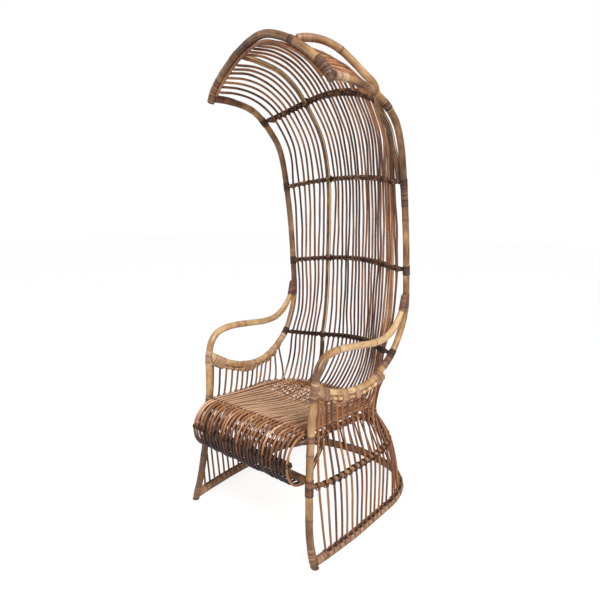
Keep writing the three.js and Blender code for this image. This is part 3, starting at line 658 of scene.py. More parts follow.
def carried_frames(points, closed=False, facing=None):
    """Normals that turn as little as possible along a line of points."""
    if closed:
        tangents = unit(np.roll(points, -1, axis=0) - np.roll(points, 1, axis=0))
    else:
        tangents = tangents_of(points)
    if facing is None:
        facing = UP if abs(tangents[0][2]) < 0.9 else ACROSS
    normal = unit(facing - tangents[0] * np.dot(facing, tangents[0]))
    normals = np.zeros_like(points)
    normals[0] = normal
    for i in range(1, len(points)):
        normal = normal - tangents[i] * np.dot(normal, tangents[i])
        normal = normal / np.linalg.norm(normal)
        normals[i] = normal
    return normals, np.cross(tangents, normals)


def wander(count, size, smoothness):
    """Small smooth random departures along a line."""
    knots = max(3, int(count / smoothness) + 2)
    values = random.normal(0, size, (knots, 3))
    return resampled(np.linspace(0, knots - 1, count), np.arange(knots), values)


def softened(values, rounds=3):
    """Smooths a row of values in place, and gives it back."""
    for _ in range(rounds):
        values[1:-1] = (values[:-2] + 2 * values[1:-1] + values[2:]) / 4
    return values


# Growth rings are small swellings with a dark line.
RING_WIDTH = 8.0
RING_LINE = 2.2
RING_SWELL = 0.045
RING_SPACING = 290
FIRST_RING = (60, 220)
LAST_RING = 20
POLE_SPACING = 5


def ringed(points, radius, rings):
    """Radii of a pole that swells at its growth rings, and their dark lines."""
    along = lengths_along(points)
    radii = np.broadcast_to(np.asarray(radius, float), (len(points),))
    dark_lines_and_painted_shade = np.zeros(len(points))
    for ring in rings:
        off = along - ring
        radii = radii * (1 + RING_SWELL * np.exp(-(off / RING_WIDTH) ** 2))
        dark_lines_and_painted_shade = np.maximum(dark_lines_and_painted_shade, np.exp(-((off - 1) / RING_LINE) ** 2))
    return radii, dark_lines_and_painted_shade


def ring_places(length):
    places = []
    at = random.uniform(*FIRST_RING)
    while at < length - LAST_RING:
        places.append(at)
        at += RING_SPACING * random.uniform(0.8, 1.2)
    return places


def pole(piece, curve, radius, low=0.0, high=1.0, sides=18, rings=None, tones=0.55, lowest=None):
    """Natural pole with growth rings and slow changes of thickness and tone.

    The rings are lengths along the pole. The tones are one value, or stops of share and value.
    """
    points = curve.stretch(low, high, POLE_SPACING)
    shares = np.linspace(low, high, len(points))
    if rings is None:
        rings = ring_places(curve.length * (high - low))
    if callable(radius):
        radius = radius(shares)
    radii, dark_lines_and_painted_shade = ringed(points, radius, rings)
    radii = radii * (1 + softened(random.normal(0, 0.012, len(points)), 6))
    if np.ndim(tones):
        tones = np.interp(shares, *zip(*tones))
    tone = tones + softened(random.uniform(-0.16, 0.16, len(points)), 30)
    piece.tube(points, radii, sides, tone=tone, dark_lines_and_painted_shade=dark_lines_and_painted_shade, lowest=lowest)


def winding(piece, centres, radius, turn, height, sides, tone, samples=6, other=None):
    """Strand wound round a pole, or round two poles side by side, as a sleeve with one ridge per turn.

    A turn takes up a length of the pole, and is cut into a number of samples.
    """
    along = lengths_along(centres)
    count = max(8, int(round(along[-1] / turn * samples)))
    where = np.linspace(0, along[-1], count)
    line = resampled(where, along, centres)
    outward, angle = around(*carried_frames(line), sides)
    phase = where[:, None] / turn + angle[None, :] / (2 * math.pi)
    within = phase - np.floor(phase)
    ridge = np.sqrt(np.clip(1 - (2 * within - 1) ** 2, 0, 1))
    ends = np.minimum(1, np.minimum(where, along[-1] - where) / (0.6 * turn))[:, None]
    reach = radius * (0.9 + 0.1 * ends) + height * ridge * ends
    rings = line[:, None] + outward * reach[..., None]
    if other is not None:
        gap = resampled(where, along, other) - line
        towards = (outward * gap[:, None]).sum(-1) > 0
        rings = rings + np.where(towards[..., None], gap[:, None], 0)
    turns = np.floor(phase).astype(int)
    shades = np.random.RandomState(len(piece.verts) + 3).uniform(*tone, turns.max() - turns.min() + 1)
    # Painted shade darkens the grooves between the turns.
    piece.rings(rings, where, shades[turns - turns.min()], np.clip(1 - ridge * 1.5, 0, 1) * 0.8)


LOOP_SEGMENTS = 18
STRAND_SIDES = 6


def loop(piece, centre, axis_a, axis_b, strand, tone):
    """Closed elliptic strand round a crossing."""
    angle = np.arange(LOOP_SEGMENTS) / LOOP_SEGMENTS * 2 * math.pi
    points = centre + np.cos(angle)[:, None] * axis_a + np.sin(angle)[:, None] * axis_b
    piece.tube(points, strand, STRAND_SIDES, tone=tone, closed=True)


def crossing(piece, rail_point, along, rail_radius, line, rod_radius, strand, tone,
             strands=2, near=None, drop=0):
    """Lashing in an X round a rail and the rod whose line crosses it, with strands side by side.

    The crossing lies on the rod where it is nearest to the rail's point, or to another one.
    """
    distances = np.linalg.norm(line - (rail_point if near is None else near), axis=1)
    i = min(max(int(np.argmin(distances)), 1), len(line) - 2)
    rod_point, direction = line[i] - UP * drop, unit(line[i + 1] - line[i - 1])
    between = rod_point - rail_point
    depth = pointing(np.cross(along, direction), between)
    middle = (rail_point - depth * rail_radius + rod_point + depth * rod_radius) / 2
    half_depth = (abs(between.dot(depth)) + rail_radius + rod_radius) / 2 + strand * 0.8
    for sign in (1, -1):
        diagonal = unit(along * rod_radius + sign * direction * rail_radius)
        aside = unit(np.cross(diagonal, depth))
        half = math.hypot(rail_radius, rod_radius) + strand * 1.6
        for k in range(strands):
            shift = aside * (k - (strands - 1) / 2) * strand * 1.9
            loop(piece, middle + shift, diagonal * half, depth * half_depth, strand, tone)


# Materials.
def linear(code):
    """Scene colour of a written hex colour."""
    parts = [int(code[i:i + 2], 16) / 255 for i in (0, 2, 4)]
    return tuple(c / 12.92 if c <= 0.04045 else ((c + 0.055) / 1.055) ** 2.4 for c in parts) + (1.0,)


class Shader:
    """Short words for making the nodes of a material or of the world."""

    def __init__(self, owner, output="ShaderNodeOutputMaterial"):
        owner.use_nodes = True
        self.tree = owner.node_tree
        self.tree.nodes.clear()
        self.output = self.node(output)

    def finish(self, surface):
        self.tree.links.new(surface.outputs[0], self.output.inputs["Surface"])

    def node(self, kind, inputs=None, **settings):
        node = self.tree.nodes.new(kind)
        for key, value in settings.items():
            setattr(node, key, value)
        for key, value in (inputs or {}).items():
            if isinstance(value, bpy.types.NodeSocket):
                self.tree.links.new(value, node.inputs[key])
            else:
                node.inputs[key].default_value = value
        return node

    def math(self, operation, a, b, clamp=False):
        return self.node("ShaderNodeMath", {0: a, 1: b}, operation=operation, use_clamp=clamp).outputs[0]

    def attribute(self, name, output):
        return self.node("ShaderNodeAttribute", attribute_name=name).outputs[output]

    def noise(self, vector, scale, detail, roughness):
        inputs = {"Vector": vector, "Scale": scale, "Detail": detail, "Roughness": roughness}
        return self.node("ShaderNodeTexNoise", inputs).outputs["Fac"]

    def stretched(self, vector, scale):
        return self.node("ShaderNodeVectorMath", {0: vector, 1: scale}, operation="MULTIPLY").outputs[0]

    def ramp(self, value, stops):
        node = self.node("ShaderNodeValToRGB", {"Fac": value})
        ramp = node.color_ramp
        while len(ramp.elements) < len(stops):
            ramp.elements.new(0.5)
        for element, (position, code) in zip(ramp.elements, stops):
            element.position = position
            element.color = linear(code)
        return node.outputs["Color"]

    def mixed(self, factor, a, b):
        return self.node("ShaderNodeMix", {"Factor": factor, 6: a, 7: b}, data_type="RGBA").outputs[2]


def cane(name, stops, dark, roughness=0.42, coat=0.25, blotch=0.2, streak=0.25, grain=0.35):
    """Rattan skin: colour by strand and by patch, with long fibres, growth marks, painted shade in creases
    and between the turns of windings, and a thin gloss.
    """
    material = bpy.data.materials.new(name)
    s = Shader(material)
    skin = s.attribute("skin", "Vector")
    tone = s.attribute("tone", "Fac")
    dark_lines_and_painted_shade = s.attribute("dark_lines_and_painted_shade", "Fac")
    position = s.node("ShaderNodeNewGeometry").outputs["Position"]
    patches = s.noise(position, 14.0, 3.0, 0.55)
    fibres = s.noise(s.stretched(skin, (2.6, 2.6, 16.0)), 2.2, 5.0, 0.65)
    long_patches = s.noise(s.stretched(skin, (0.35, 0.35, 13.0)), 1.0, 2.0, 0.5)
    value = 0.0
    for pattern, strength in ((patches, blotch), (fibres, streak), (long_patches, blotch)):
        share = s.math("MULTIPLY", s.math("SUBTRACT", pattern, 0.5), strength * 2)
        value = s.math("ADD", value, share)
    colour = s.ramp(s.math("ADD", value, tone, clamp=True), stops)
    specks = s.noise(s.stretched(skin, (5.0, 5.0, 90.0)), 3.0, 4.0, 0.7)
    speck_depth = s.math("MULTIPLY", s.math("SUBTRACT", specks, 0.62, clamp=True), 3.0, clamp=True)
    colour = s.mixed(s.math("MULTIPLY", speck_depth, 0.6), colour, linear(dark))
    # Growth lines are the cane's own colour; the rest of this darkening is painted shade in creases and
    # grooves.
    colour = s.mixed(s.math("MULTIPLY", dark_lines_and_painted_shade, 0.75, clamp=True), colour, linear(dark))
    rough = s.math("ADD", s.math("MULTIPLY", fibres, 0.3), roughness - 0.15)
    height = s.math("ADD", s.math("MULTIPLY", fibres, 0.6), s.math("MULTIPLY", specks, 0.4))
    bump = s.node("ShaderNodeBump", {"Height": height, "Strength": grain, "Distance": 0.0008})
    s.finish(s.node("ShaderNodeBsdfPrincipled", {
        "Base Color": colour, "Roughness": rough, "Normal": bump.outputs[0],
        "Coat Weight": coat, "Coat Roughness": 0.22, "IOR": 1.48,
    }))
    return material


# Colours of each kind of cane, from its darkest tone to its lightest.
POLE_STOPS = [(0.0, "2f1c14"), (0.22, "573928"), (0.45, "876140"), (0.7, "b98c5b"), (1.0, "ecca9a")]
ROD_STOPS = [(0.0, "25130f"), (0.25, "4f2d20"), (0.5, "7e4f34"), (0.75, "be8458"), (1.0, "f4c6a0")]
SIDE_STOPS = [(0.0, "2c150d"), (0.25, "6c3c22"), (0.5, "9a6036"), (0.75, "b87d48"), (1.0, "d8aa78")]
DARK_STOPS = [(0.0, "22120b"), (0.35, "44291b"), (0.65, "694733"), (1.0, "9a765b")]
CANE_STOPS = [(0.0, "472819"), (0.35, "80543b"), (0.65, "b38a69"), (1.0, "dfbf9b")]

pole_skin = cane("pole_skin", POLE_STOPS, "2c1710", roughness=0.36, coat=0.3, blotch=0.36, streak=0.4)
rod_skin = cane("rod_skin", ROD_STOPS, "190d0a")
side_rod_skin = cane("side_rod_skin", SIDE_STOPS, "1f100a", blotch=0.22)
dark_binding = cane("dark_binding", DARK_STOPS, "0d0908", roughness=0.6, coat=0.05, grain=0.6)
cane_binding = cane("cane_binding", CANE_STOPS, "2c1811", roughness=0.5, coat=0.12, grain=0.5)


# Poles of the frame.
ARM_TIP = 0.975


def leg_radius(shares):
    radius = LEG_RADIUS - (LEG_RADIUS - ARM_END_RADIUS) * part_way(shares, ARM_TAPER, 1)
    return radius * (1 - 0.6 * part_way(shares, ARM_TIP, 1))


def skinned(node, curve, radius, material=pole_skin, slot="pole", **looks):
    """A pole in place of the solid of one node."""
    piece = Piece(f"{node}_skin")
    pole(piece, curve, radius, **looks)
    piece.build(material, slot, [node])


def plain_rod(name, line, radius, sides, tone=None, material=pole_skin, slot="pole", nodes=()):
    piece = Piece(name)
    piece.tube(line, radius, sides, tone=tone)
    piece.build(material, slot, nodes)


leg_curves = {side: leg_pole_curve(side) for _, side in HANDS}
side_curves = {side: side_pole_curve(side) for _, side in HANDS}

# Growth rings and tones of the poles, by share of their length, as the photograph shows them.
LEG_RINGS = {1: (0.13, 0.302, 0.62, 0.79), -1: (0.17, 0.36, 0.68, 0.84)}
LEG_TONES = {
    1: ((0, 0.34), (0.06, 0.4), (0.13, 0.5), (0.2, 0.62), (0.44, 0.66), (0.45, 0.3), (0.53, 0.32),
        (0.58, 0.7), (0.64, 0.92), (0.9, 0.86), (1, 0.7)),
    -1: ((0, 0.28), (0.1, 0.34), (0.28, 0.4), (0.34, 0.7), (0.5, 0.72), (0.64, 0.88), (0.9, 0.84),
         (1, 0.7)),
}
SIDE_RINGS = {1: (0.2, 0.583, 0.79, 0.9), -1: (0.07, 0.493, 0.683, 0.88)}
SIDE_TONES = {
    1: ((0, 0.84), (0.22, 0.76), (0.3, 0.66), (0.4, 0.42), (0.5, 0.55), (0.6, 0.5), (0.66, 0.3),
        (0.72, 0.42), (0.84, 0.5), (0.97, 0.58), (1, 0.3)),
    -1: ((0, 0.84), (0.22, 0.8), (0.3, 0.66), (0.4, 0.42), (0.55, 0.46), (0.8, 0.44), (0.9, 0.6),
         (1, 0.2)),
}
ARCH_TONES = (
    (0, 0.4), (0.13, 0.55), (0.3, 0.52), (0.45, 0.4), (0.7, 0.36), (0.85, 0.45), (0.95, 0.3), (1, 0.1),
)
for hand, side in HANDS:
    for name, curve, radius, ring_shares, tones, lowest in (
        ("leg_and_arm_pole", leg_curves[side], leg_radius, LEG_RINGS[side], LEG_TONES[side], FOOT_TRIM),
        ("side_pole", side_curves[side], SIDE_POLE_RADIUS, SIDE_RINGS[side], SIDE_TONES[side], None),
    ):
        rings = [share * curve.length for share in ring_shares]
        skinned(f"{name}_{hand}", curve, radius, sides=20, rings=rings, tones=tones, lowest=lowest)
skinned("hood_front_arch", arch_curve, ARCH_RADIUS, sides=20, rings=(180, 372, 505), tones=ARCH_TONES)
rim_curve = Smooth([rim_point(share) for share in np.linspace(RIM_START, 1 - RIM_START, 27)])
skinned("hood_rim_rod", rim_curve, 0.72 * RIM_RADIUS, rod_skin, "long_rod", sides=12)

# Stiles, each with a thin light rod along its right edge as a painted highlight.
HIGHLIGHT_STRIP_RADIUS = 2.6
LEFT_STILE_RINGS = (150, 420, 824, 1130, 1340)
LEFT_STILE_TONES = ((0, 0.4), (0.12, 0.72), (0.2, 0.5), (0.4, 0.38), (0.55, 0.3), (0.75, 0.34), (1, 0.25))
RIGHT_STILE_RINGS = (138, 330, 520)
RIGHT_STILE_TONES = ((0, 0.6), (0.52, 0.6), (0.64, 0.3), (1, 0.3))


# A thin rod of the lightest tone beside the stile: a painted highlight.
def stile_highlight_strip(name, curve, low, high, aside):
    plain_rod(name, curve.stretch(low, high, 8) + ACROSS * aside - BACK * 3, HIGHLIGHT_STRIP_RADIUS, 8, tone=1.0)


left_points, _, _ = laid_on_cage(LEFT_STILE, band_flat + flat(LEFT_STILE_RADIUS, RAIL_SIDES) + CLEARANCE)
left_points[0] = arch_curve.at(on_arch(LEFT_STILE[0]))
stile_foot = seat_hoop_at(left_points[-1][0]) - BACK * SEAT_HOOP_RADIUS / 2 - UP * SEAT_HOOP_RADIUS / 4
stile_bends = bends(left_points[-1], stile_foot, STILE_BENDS)
left_stile = Smooth(np.vstack([left_points, stile_bends, [stile_foot]]))
skinned(
    "stile_left", left_stile, LEFT_STILE_RADIUS, low=0.008,
    rings=LEFT_STILE_RINGS, tones=LEFT_STILE_TONES,
)
stile_highlight_strip("stile_left_highlight_strip", left_stile, 0.02, 0.86, LEFT_STILE_RADIUS * 0.85)

right_points = [place(shares) for shares in RIGHT_STILE]
right_stile = Smooth(right_points + [on_band(1, RIGHT_STILE[-1][0])])
skinned(
    "stile_right", right_stile, RIGHT_STILE_RADIUS, low=0.02,
    rings=RIGHT_STILE_RINGS, tones=RIGHT_STILE_TONES,
)
stile_highlight_strip("stile_right_highlight_strip", right_stile, 0.62, 0.97, RIGHT_STILE_RADIUS * 0.8)

# Hoops, rails and slats.
piece = Piece("floor_hoop_winding")
floor_line = floor_hoop.stretch(0, 1, 6)
winding(piece, floor_line, FLOOR_HOOP_RADIUS - 1.5, 3.6, 1.5, sides=18, samples=5, tone=(0.5, 0.8))
piece.build(cane_binding, "wrapped_hoop", ["floor_hoop"])
runner = floor_hoop.stretch(0.006, 0.994, 8) - UP * runner_drop
plain_rod(
    "floor_hoop_runner_skin", runner, RUNNER_RADIUS, 8, 0.6,
    side_rod_skin, "side_rod", ["floor_hoop_runner"],
)
MID_HOOP_TONES = ((0, 0.3), (0.04, 0.45), (0.08, 0.7), (1, 0.5))
skinned("mid_hoop", mid_hoop, MID_HOOP_RADIUS, cane_binding, sides=14, tones=MID_HOOP_TONES)
piece = Piece("seat_hoop_winding")
for low, high, tone in (
    (0, 0.3, (0.1, 0.45)), (0.3, 0.5, (0.2, 0.6)), (0.5, 0.92, (0.6, 1.0)), (0.92, 1, (0.1, 0.5)),
):
    winding(piece, seat_hoop.stretch(low, high, 5), SEAT_HOOP_RADIUS - 1.0, 5.5, 1.1, sides=14, tone=tone)
piece.build(cane_binding, "lashed_rod")

bow_point = inside_roll(BOW_RAIL_STEP, rod_half + flat(BOW_RAIL_RADIUS, RAIL_SIDES))
bow_side = [front_post] + [
    bow_point + (front_post - bow_point) * (0, way_back, way_up) + ACROSS * x * BACK_HALF_WIDTH
    for x, way_back, way_up in BOW
]
bow_curve = Smooth(mirrored(bow_side + [bow_point]))
skinned(
    "seat_front_bow_rail", bow_curve, BOW_RAIL_RADIUS, rod_skin, low=0.015, high=0.985, sides=14, tones=0.3
)

roll_bar = inside_roll(ROLL_BAR_STEP, rod_half + flat(ROLL_BAR_RADIUS, RAIL_SIDES))
roll_bar_half = SEAT_RODS_HALF_WIDTH + seat_pitch / 2
piece = Piece("roll_bar_winding")
bar = np.linspace(roll_bar - ACROSS * roll_bar_half, roll_bar + ACROSS * roll_bar_half, 60)
winding(piece, bar, ROLL_BAR_RADIUS - 1.0, 4.4, 1.1, sides=12, tone=(0.1, 0.6))
piece.build(dark_binding, "lashed_rod", ["roll_bar"])

front_pole_flat = flat(FRONT_POLE_RADIUS, POLE_SIDES)
front_pole_back = ROLL_CENTRE_BACK + front_pole_flat * math.tan(math.pi / POLE_SIDES) + CLEARANCE
front_pole_height = roll_bottom + rod_half + front_pole_flat
front_pole_end = leg_pole_at(front_pole_height)[0] - LEG_RADIUS
front_pole = Smooth([
    (front_pole_end * part, front_pole_back, front_pole_height) for part in (-1, -0.4, 0.4, 1)
])
skinned("lower_front_pole", front_pole, FRONT_POLE_RADIUS, slot="lashed_rod", tones=0.33)

front_slat = np.array([0, front_post[1], roll_top - slat_drop])
slat_reach = ACROSS * (front_post[0] - LEG_RADIUS)
slat_line = np.linspace(front_slat - slat_reach, front_slat + slat_reach, 60)
plain_rod("seat_slat_front_skin", slat_line, SLAT_RADIUS, 10, nodes=["seat_slat_front"])

for hand, side in HANDS:
    foot = leg_pole_at(height_at(BRACE_FOOT))
    head = seat_hoop.at(seat_hoop.where(lambda p: p[1], BRACE_HEAD * CHAIR_DEPTH, 0, 0.3))
    foot, head = foot * (side, 1, 1), head * (side, 1, 1)
    along = unit(head - foot)
    line = np.linspace(foot + along * LEG_RADIUS, head - along * SEAT_HOOP_RADIUS, 24)
    plain_rod(f"seat_brace_{hand}_skin", line, BRACE_RADIUS, 12, tone=0.25, nodes=[f"seat_brace_{hand}"])


# Long rods.
def rod_line(points, drift):
    """Line of a rod that wanders a little off its path."""
    line = Smooth(points, 24).stretch(0, 1, ROD_SPACING)
    drifting = softened(wander(len(line), drift, 12))
    drifting[0] = drifting[-1] = 0
    return line + drifting


ROD_SPACING = 7
BACK_ROD_RADIUS = 4.1
SEAT_ROD_RADIUS = 5.0
# In the back, a rod lies behind BACK_FROM. The seat has open holes behind OPEN_FROM.
BACK_FROM = 300
OPEN_FROM = 300
ROLL_BEFORE = 40
long_lines = [rod_line(long_rod_points(index), 1.1) for index in range(ROD_COUNT)]
for line in long_lines:
    y, z = line[:, 1], line[:, 2]
    in_back = part_way(z, 520, 640) * part_way(z, 1320, 1200) * (y > BACK_FROM)
    line += wander(len(line), 1.8, 40) * in_back[:, None]
    on_roll = softened(((y < ROLL_BEFORE) & (z < SEAT_FRONT_HEIGHT)).astype(float), 8)
    line[:, 0] += random.uniform(-2.6, 2.6) * on_roll

# The rods nearest the right side pole lie close together, with more rods between them.
BUNDLED = 4
BUNDLE_HEIGHTS = (560, 1340)
BUNDLE_ROD_RADIUS = 3.2
bundled = []
for line in long_lines[-BUNDLED:]:
    y, z = line[:, 1], line[:, 2]
    bundled.append(line[(y > BACK_FROM) & (z > BUNDLE_HEIGHTS[0]) & (z < BUNDLE_HEIGHTS[1])])
piece = Piece("bundled_rods")
for first, second in zip(bundled, bundled[1:]):
    count = min(len(first), len(second))
    for share in (0.34, 0.67):
        shares = share + 0.25 * np.sin(np.linspace(0, 2 * math.pi, count) + random.uniform(0, 6))
        forward = 2.5 * np.sin(np.linspace(0, 3 * math.pi, count) + random.uniform(0, 6))
        line = first[:count] + (second[:count] - first[:count]) * shares[:, None] - BACK * forward[:, None]
        piece.tube(line, BUNDLE_ROD_RADIUS, 8, tone=random.choice([0.3, 0.45, 0.62, 0.75, 0.88]))
piece.build(rod_skin, "long_rod")

# Lighter on the seat and in the hood, with painted shade darker down the front of the roll, and darker at
# the seat's right edge.
piece = Piece("long_rods_skin")
for index, line in enumerate(long_lines):
    x, y, z = line.T
    on_seat = softened(part_way(y, 470, 410) * (z < SEAT_FRONT_HEIGHT + 40), 10)
    flat_part = softened(on_seat * (y > 45), 6)
    # Painted shade, deeper down the front of the roll below the seat.
    painted_shade_under_roll = part_way(z, SEAT_FRONT_HEIGHT, SEAT_FRONT_HEIGHT - 110) * (y < 60)
    if index == ROD_COUNT - 1:
        painted_shade_under_roll = painted_shade_under_roll * 0.15
    base = random.uniform(0.22, 0.6)
    seat_tone = random.uniform(0.58, 0.92) + 0.34 * flat_part - 0.2 * (x > 105) * flat_part
    tone = base + (seat_tone - base) * on_seat - 0.6 * painted_shade_under_roll + 0.2 * part_way(z, 1250, 1400)
    radii = LONG_ROD_RADIUS + (BACK_ROD_RADIUS - LONG_ROD_RADIUS) * (1 - on_seat)
    radii = radii + (SEAT_ROD_RADIUS - LONG_ROD_RADIUS) * flat_part * (y < OPEN_FROM)
    radii = radii * (1 + softened(random.normal(0, 0.05, len(line)), 8))
    # Painted shade in the creases along both sides of the rods on the flat of the seat.
    piece.tube(line, radii, 10, tone=tone, painted_crease_shade=0.9 * flat_part, facing=UP)
piece.build(rod_skin, "long_rod", [f"long_rod_{index + 1:02d}" for index in range(ROD_COUNT)])

# Seat fillers and the middle slat. Behind the middle slat most of the fillers stop, and cross
# strands leave small holes between the long rods.
FILLER_RADIUS = 2.7
SLAT_HALF_LENGTH = 216
piece = Piece("seat_fillers_skin")
for index in range(ROD_COUNT - 1):
    points = seat_line(seat_rod_x(index + 0.5))
    points[0] = points[0] - BACK * 10
    points[-1] = points[-1] - BACK * 6
    line = rod_line(points, 0.25)
    if index % 3:
        line = line[line[:, 1] < OPEN_FROM + random.uniform(-50, 20)]
    # Painted shade along both sides of each filler, in the creases between the rods.
    painted_crease_shade = np.full(len(line), 0.9)
    piece.tube(line, FILLER_RADIUS, 8, tone=random.uniform(0.35, 0.72), painted_crease_shade=painted_crease_shade, facing=UP)
slat_xs = np.linspace(-SLAT_HALF_LENGTH, SLAT_HALF_LENGTH, 70)
slat = [dished(MIDDLE_DISH, x) - UP * slat_drop for x in slat_xs]
piece.tube(slat, SLAT_RADIUS, 8, tone=0.5)
piece.build(rod_skin, "long_rod", ["seat_slat_middle"])


def seat_height(x, y):
    line = seat_line(x)[::-1]
    return np.interp(y, line[:, 1], line[:, 2])


CROSS_START = OPEN_FROM - 10
CROSS_STEP = 25
CROSS_END = 462
CROSS_RADIUS = 1.8
hoop_samples = seat_hoop.at(np.linspace(0.3, 0.5, 80))
piece = Piece("seat_cross_strands")
for row, y in enumerate(np.arange(CROSS_START, CROSS_END, CROSS_STEP)):
    half = min(SEAT_RODS_HALF_WIDTH - 2, np.interp(y, hoop_samples[:, 1], hoop_samples[:, 0]) - 12)
    for twin in (0, 1):
        xs = np.linspace(-half, half, 160)
        over = np.cos(math.pi * (xs / seat_pitch + row + twin)) * 4.0
        strand = [(x, y + twin * 4.4, seat_height(x, y) + rise) for x, rise in zip(xs, over)]
        piece.tube(strand, CROSS_RADIUS, STRAND_SIDES, tone=random.uniform(0.6, 0.95))
piece.build(rod_skin, "long_rod")

# Strands that cross inside the front roll, between its rods.
ROLL_STRAND_RADIUS = 2.5
piece = Piece("inner_roll_strands")
for index in range(ROD_COUNT - 1):
    for side in (-1, 1):
        slant = side * seat_pitch * random.uniform(0.5, 1.1)
        inside = (ROLL_REACH * random.uniform(0.72, 0.86), ROLL_HALF_HEIGHT * 0.97, roll_top - 4)
        strand = [
            roll_point(seat_rod_x(index + 0.5) + slant * (share - 0.3) * 2, share, *inside)
            for share in np.linspace(0.02, 0.62, 14)
        ]
        piece.tube(strand, ROLL_STRAND_RADIUS, STRAND_SIDES, tone=random.uniform(0.15, 0.5))
piece.build(rod_skin, "long_rod")

# Side rods and the skirt's rear rods. Each arm rail is drawn up to a share of its curve.
RAIL_ENDS = {1: 0.9, -1: 0.95}
SIDE_ROD_DRIFT = 0.6
side_lines = {}
for hand, side in HANDS:
    piece = Piece(f"side_rods_{hand}_skin")
    rail = arm_rails[side]
    for i, share in enumerate(np.linspace(*ARM_RAIL_RODS, SIDE_RODS)):
        index = i if side > 0 else len(seat_places) - 1 - i
        line = rod_line(skirt_rod_points(index, rail.at(share)), SIDE_ROD_DRIFT)
        side_lines[index] = line
        if share > RAIL_ENDS[side]:
            line = line[line[:, 2] < rail.at(RAIL_ENDS[side])[2]]
        piece.tube(line, SKIRT_ROD_RADIUS, 8, tone=random.uniform(0.22, 0.66))
    piece.build(side_rod_skin, "side_rod", [f"side_wall_{hand}"])
    piece = Piece(f"arm_rail_{hand}_skin")
    # The rails' light tone is partly their own pale colour and partly painted light, lifting them out of
    # the side pole's shadow.
    pole(piece, rail, ARM_RAIL_RADIUS, high=RAIL_ENDS[side], sides=12, tones=0.95)
    piece.build(pole_skin, "pole")
rear_index = range(SIDE_RODS, SIDE_RODS + REAR_RODS)
for index in rear_index:
    side_lines[index] = rod_line(skirt_rod_points(index), SIDE_ROD_DRIFT)
piece = Piece("rear_rods_skin")
for index in rear_index:
    tones = (0.35, 0.7) if index < SIDE_RODS + 0.55 * REAR_RODS else (0.0, 0.25)
    piece.tube(side_lines[index], SKIRT_ROD_RADIUS, 8, tone=random.uniform(*tones))
piece.build(side_rod_skin, "side_rod", ["seat_hoop_and_rear_skirt"])

# More rods between those at the two rear corners, where the photograph shows them close together.
piece = Piece("corner_rods_skin")
for index in (*rear_index[:6], *rear_index[-7:-1]):
    first, second = side_lines[index], side_lines[index + 1]
    count = min(len(first), len(second))
    middle = (first[:count] + second[:count]) / 2
    piece.tube(middle, SKIRT_ROD_RADIUS, 8, tone=random.uniform(0.35, 0.75))
piece.build(side_rod_skin, "side_rod")


# Cross bands: a wound rail behind the rods, and two strands twined round the rods in front of it.
BAND_TONES = ((0.2, 0.9), (0.3, 1.0), (0.1, 0.7), (0.0, 0.5))


def band_frame(level, s):
    """Middle of a band's rail and the direction towards the sitter."""
    inner = float(np.clip(s, -0.9, 0.9))
    _, normals, levels = laid_on_cage([inner] * 5, 0)
    station = int(np.argmin(np.abs(levels - level)))
    return on_band(level - 1, s), normals[station]


def along_band(level, s, step):
    return unit(on_band(level - 1, min(1, s + step)) - on_band(level - 1, max(-1, s - step)))


TWINE_HEIGHT = 5.6
for level, (name, *_) in enumerate(BANDS, 1):
    piece = Piece(f"{name}_winding")
    line = Smooth([on_band(level - 1, s) for s in np.linspace(-1, 1, 41)]).stretch(0.02, 0.98, 4)
    winding(piece, line, BAND_RADIUS - 1.2, 4.6, 1.3, sides=12, tone=(0.1, 0.6))
    crossed = crossings_at(level)
    beyond = [crossed[0] * 2 - crossed[1], crossed[-1] * 2 - crossed[-2]]
    stops = np.sort(np.concatenate([crossed, (crossed[1:] + crossed[:-1]) / 2, beyond]))
    frames = [band_frame(level, s) for s in stops]
    for twin in (1, -1):
        strand = []
        count = 0
        for s, (middle, normal) in zip(stops, frames):
            upward = pointing(np.cross(along_band(level, s, 0.02), normal), UP)
            nearest = crossed[np.argmin(np.abs(crossed - s))]
            out = band_flat + 1.2
            height = 0.0
            if nearest == s:
                out = band_flat + 2 * BACK_ROD_RADIUS + 1.8
                if nearest == LEFT_STILE[level]:
                    out = band_flat + 2 * LEFT_STILE_RADIUS + 4
                height = twin * (TWINE_HEIGHT if count % 2 == 0 else -TWINE_HEIGHT)
                count += 1
            strand.append(middle + normal * out + upward * height)
        strand = Smooth(strand, 14).stretch(0, 1, 2.5)
        winding(piece, strand, 4.3, 3.8, 0.9, sides=8, samples=3, tone=BAND_TONES[level - 1])
    piece.build(dark_binding, "lashed_rod", [name])

# Bindings round one pole, or round two that lie side by side: shares along the first one.
dark_wraps = Piece("dark_wraps")
cane_wraps = Piece("cane_wraps")
rail_scale = 1 / side_share_at(height_at(ARM_RAIL_END))
RAIL_WRAPS = {
    1: ((0.01, 0.056), (0.102, 0.117), (0.138, 0.152), (0.208, 0.23)),
    -1: ((0.004, 0.04), (0.097, 0.14), (0.185, 0.2), (0.21, 0.225)),
}


def wrapped(piece, curve, radius, low, high, turn, height, tone, rail=None):
    """Winds a stretch of a pole, together with the arm rail beside it if one is given."""
    shares = np.linspace(low, high, max(6, int((high - low) * curve.length / 2)))
    other = None if rail is None else rail.at(np.clip(shares * rail_scale, 0, 1))
    winding(piece, curve.at(shares), radius, turn, height, sides=18, tone=tone, other=other)


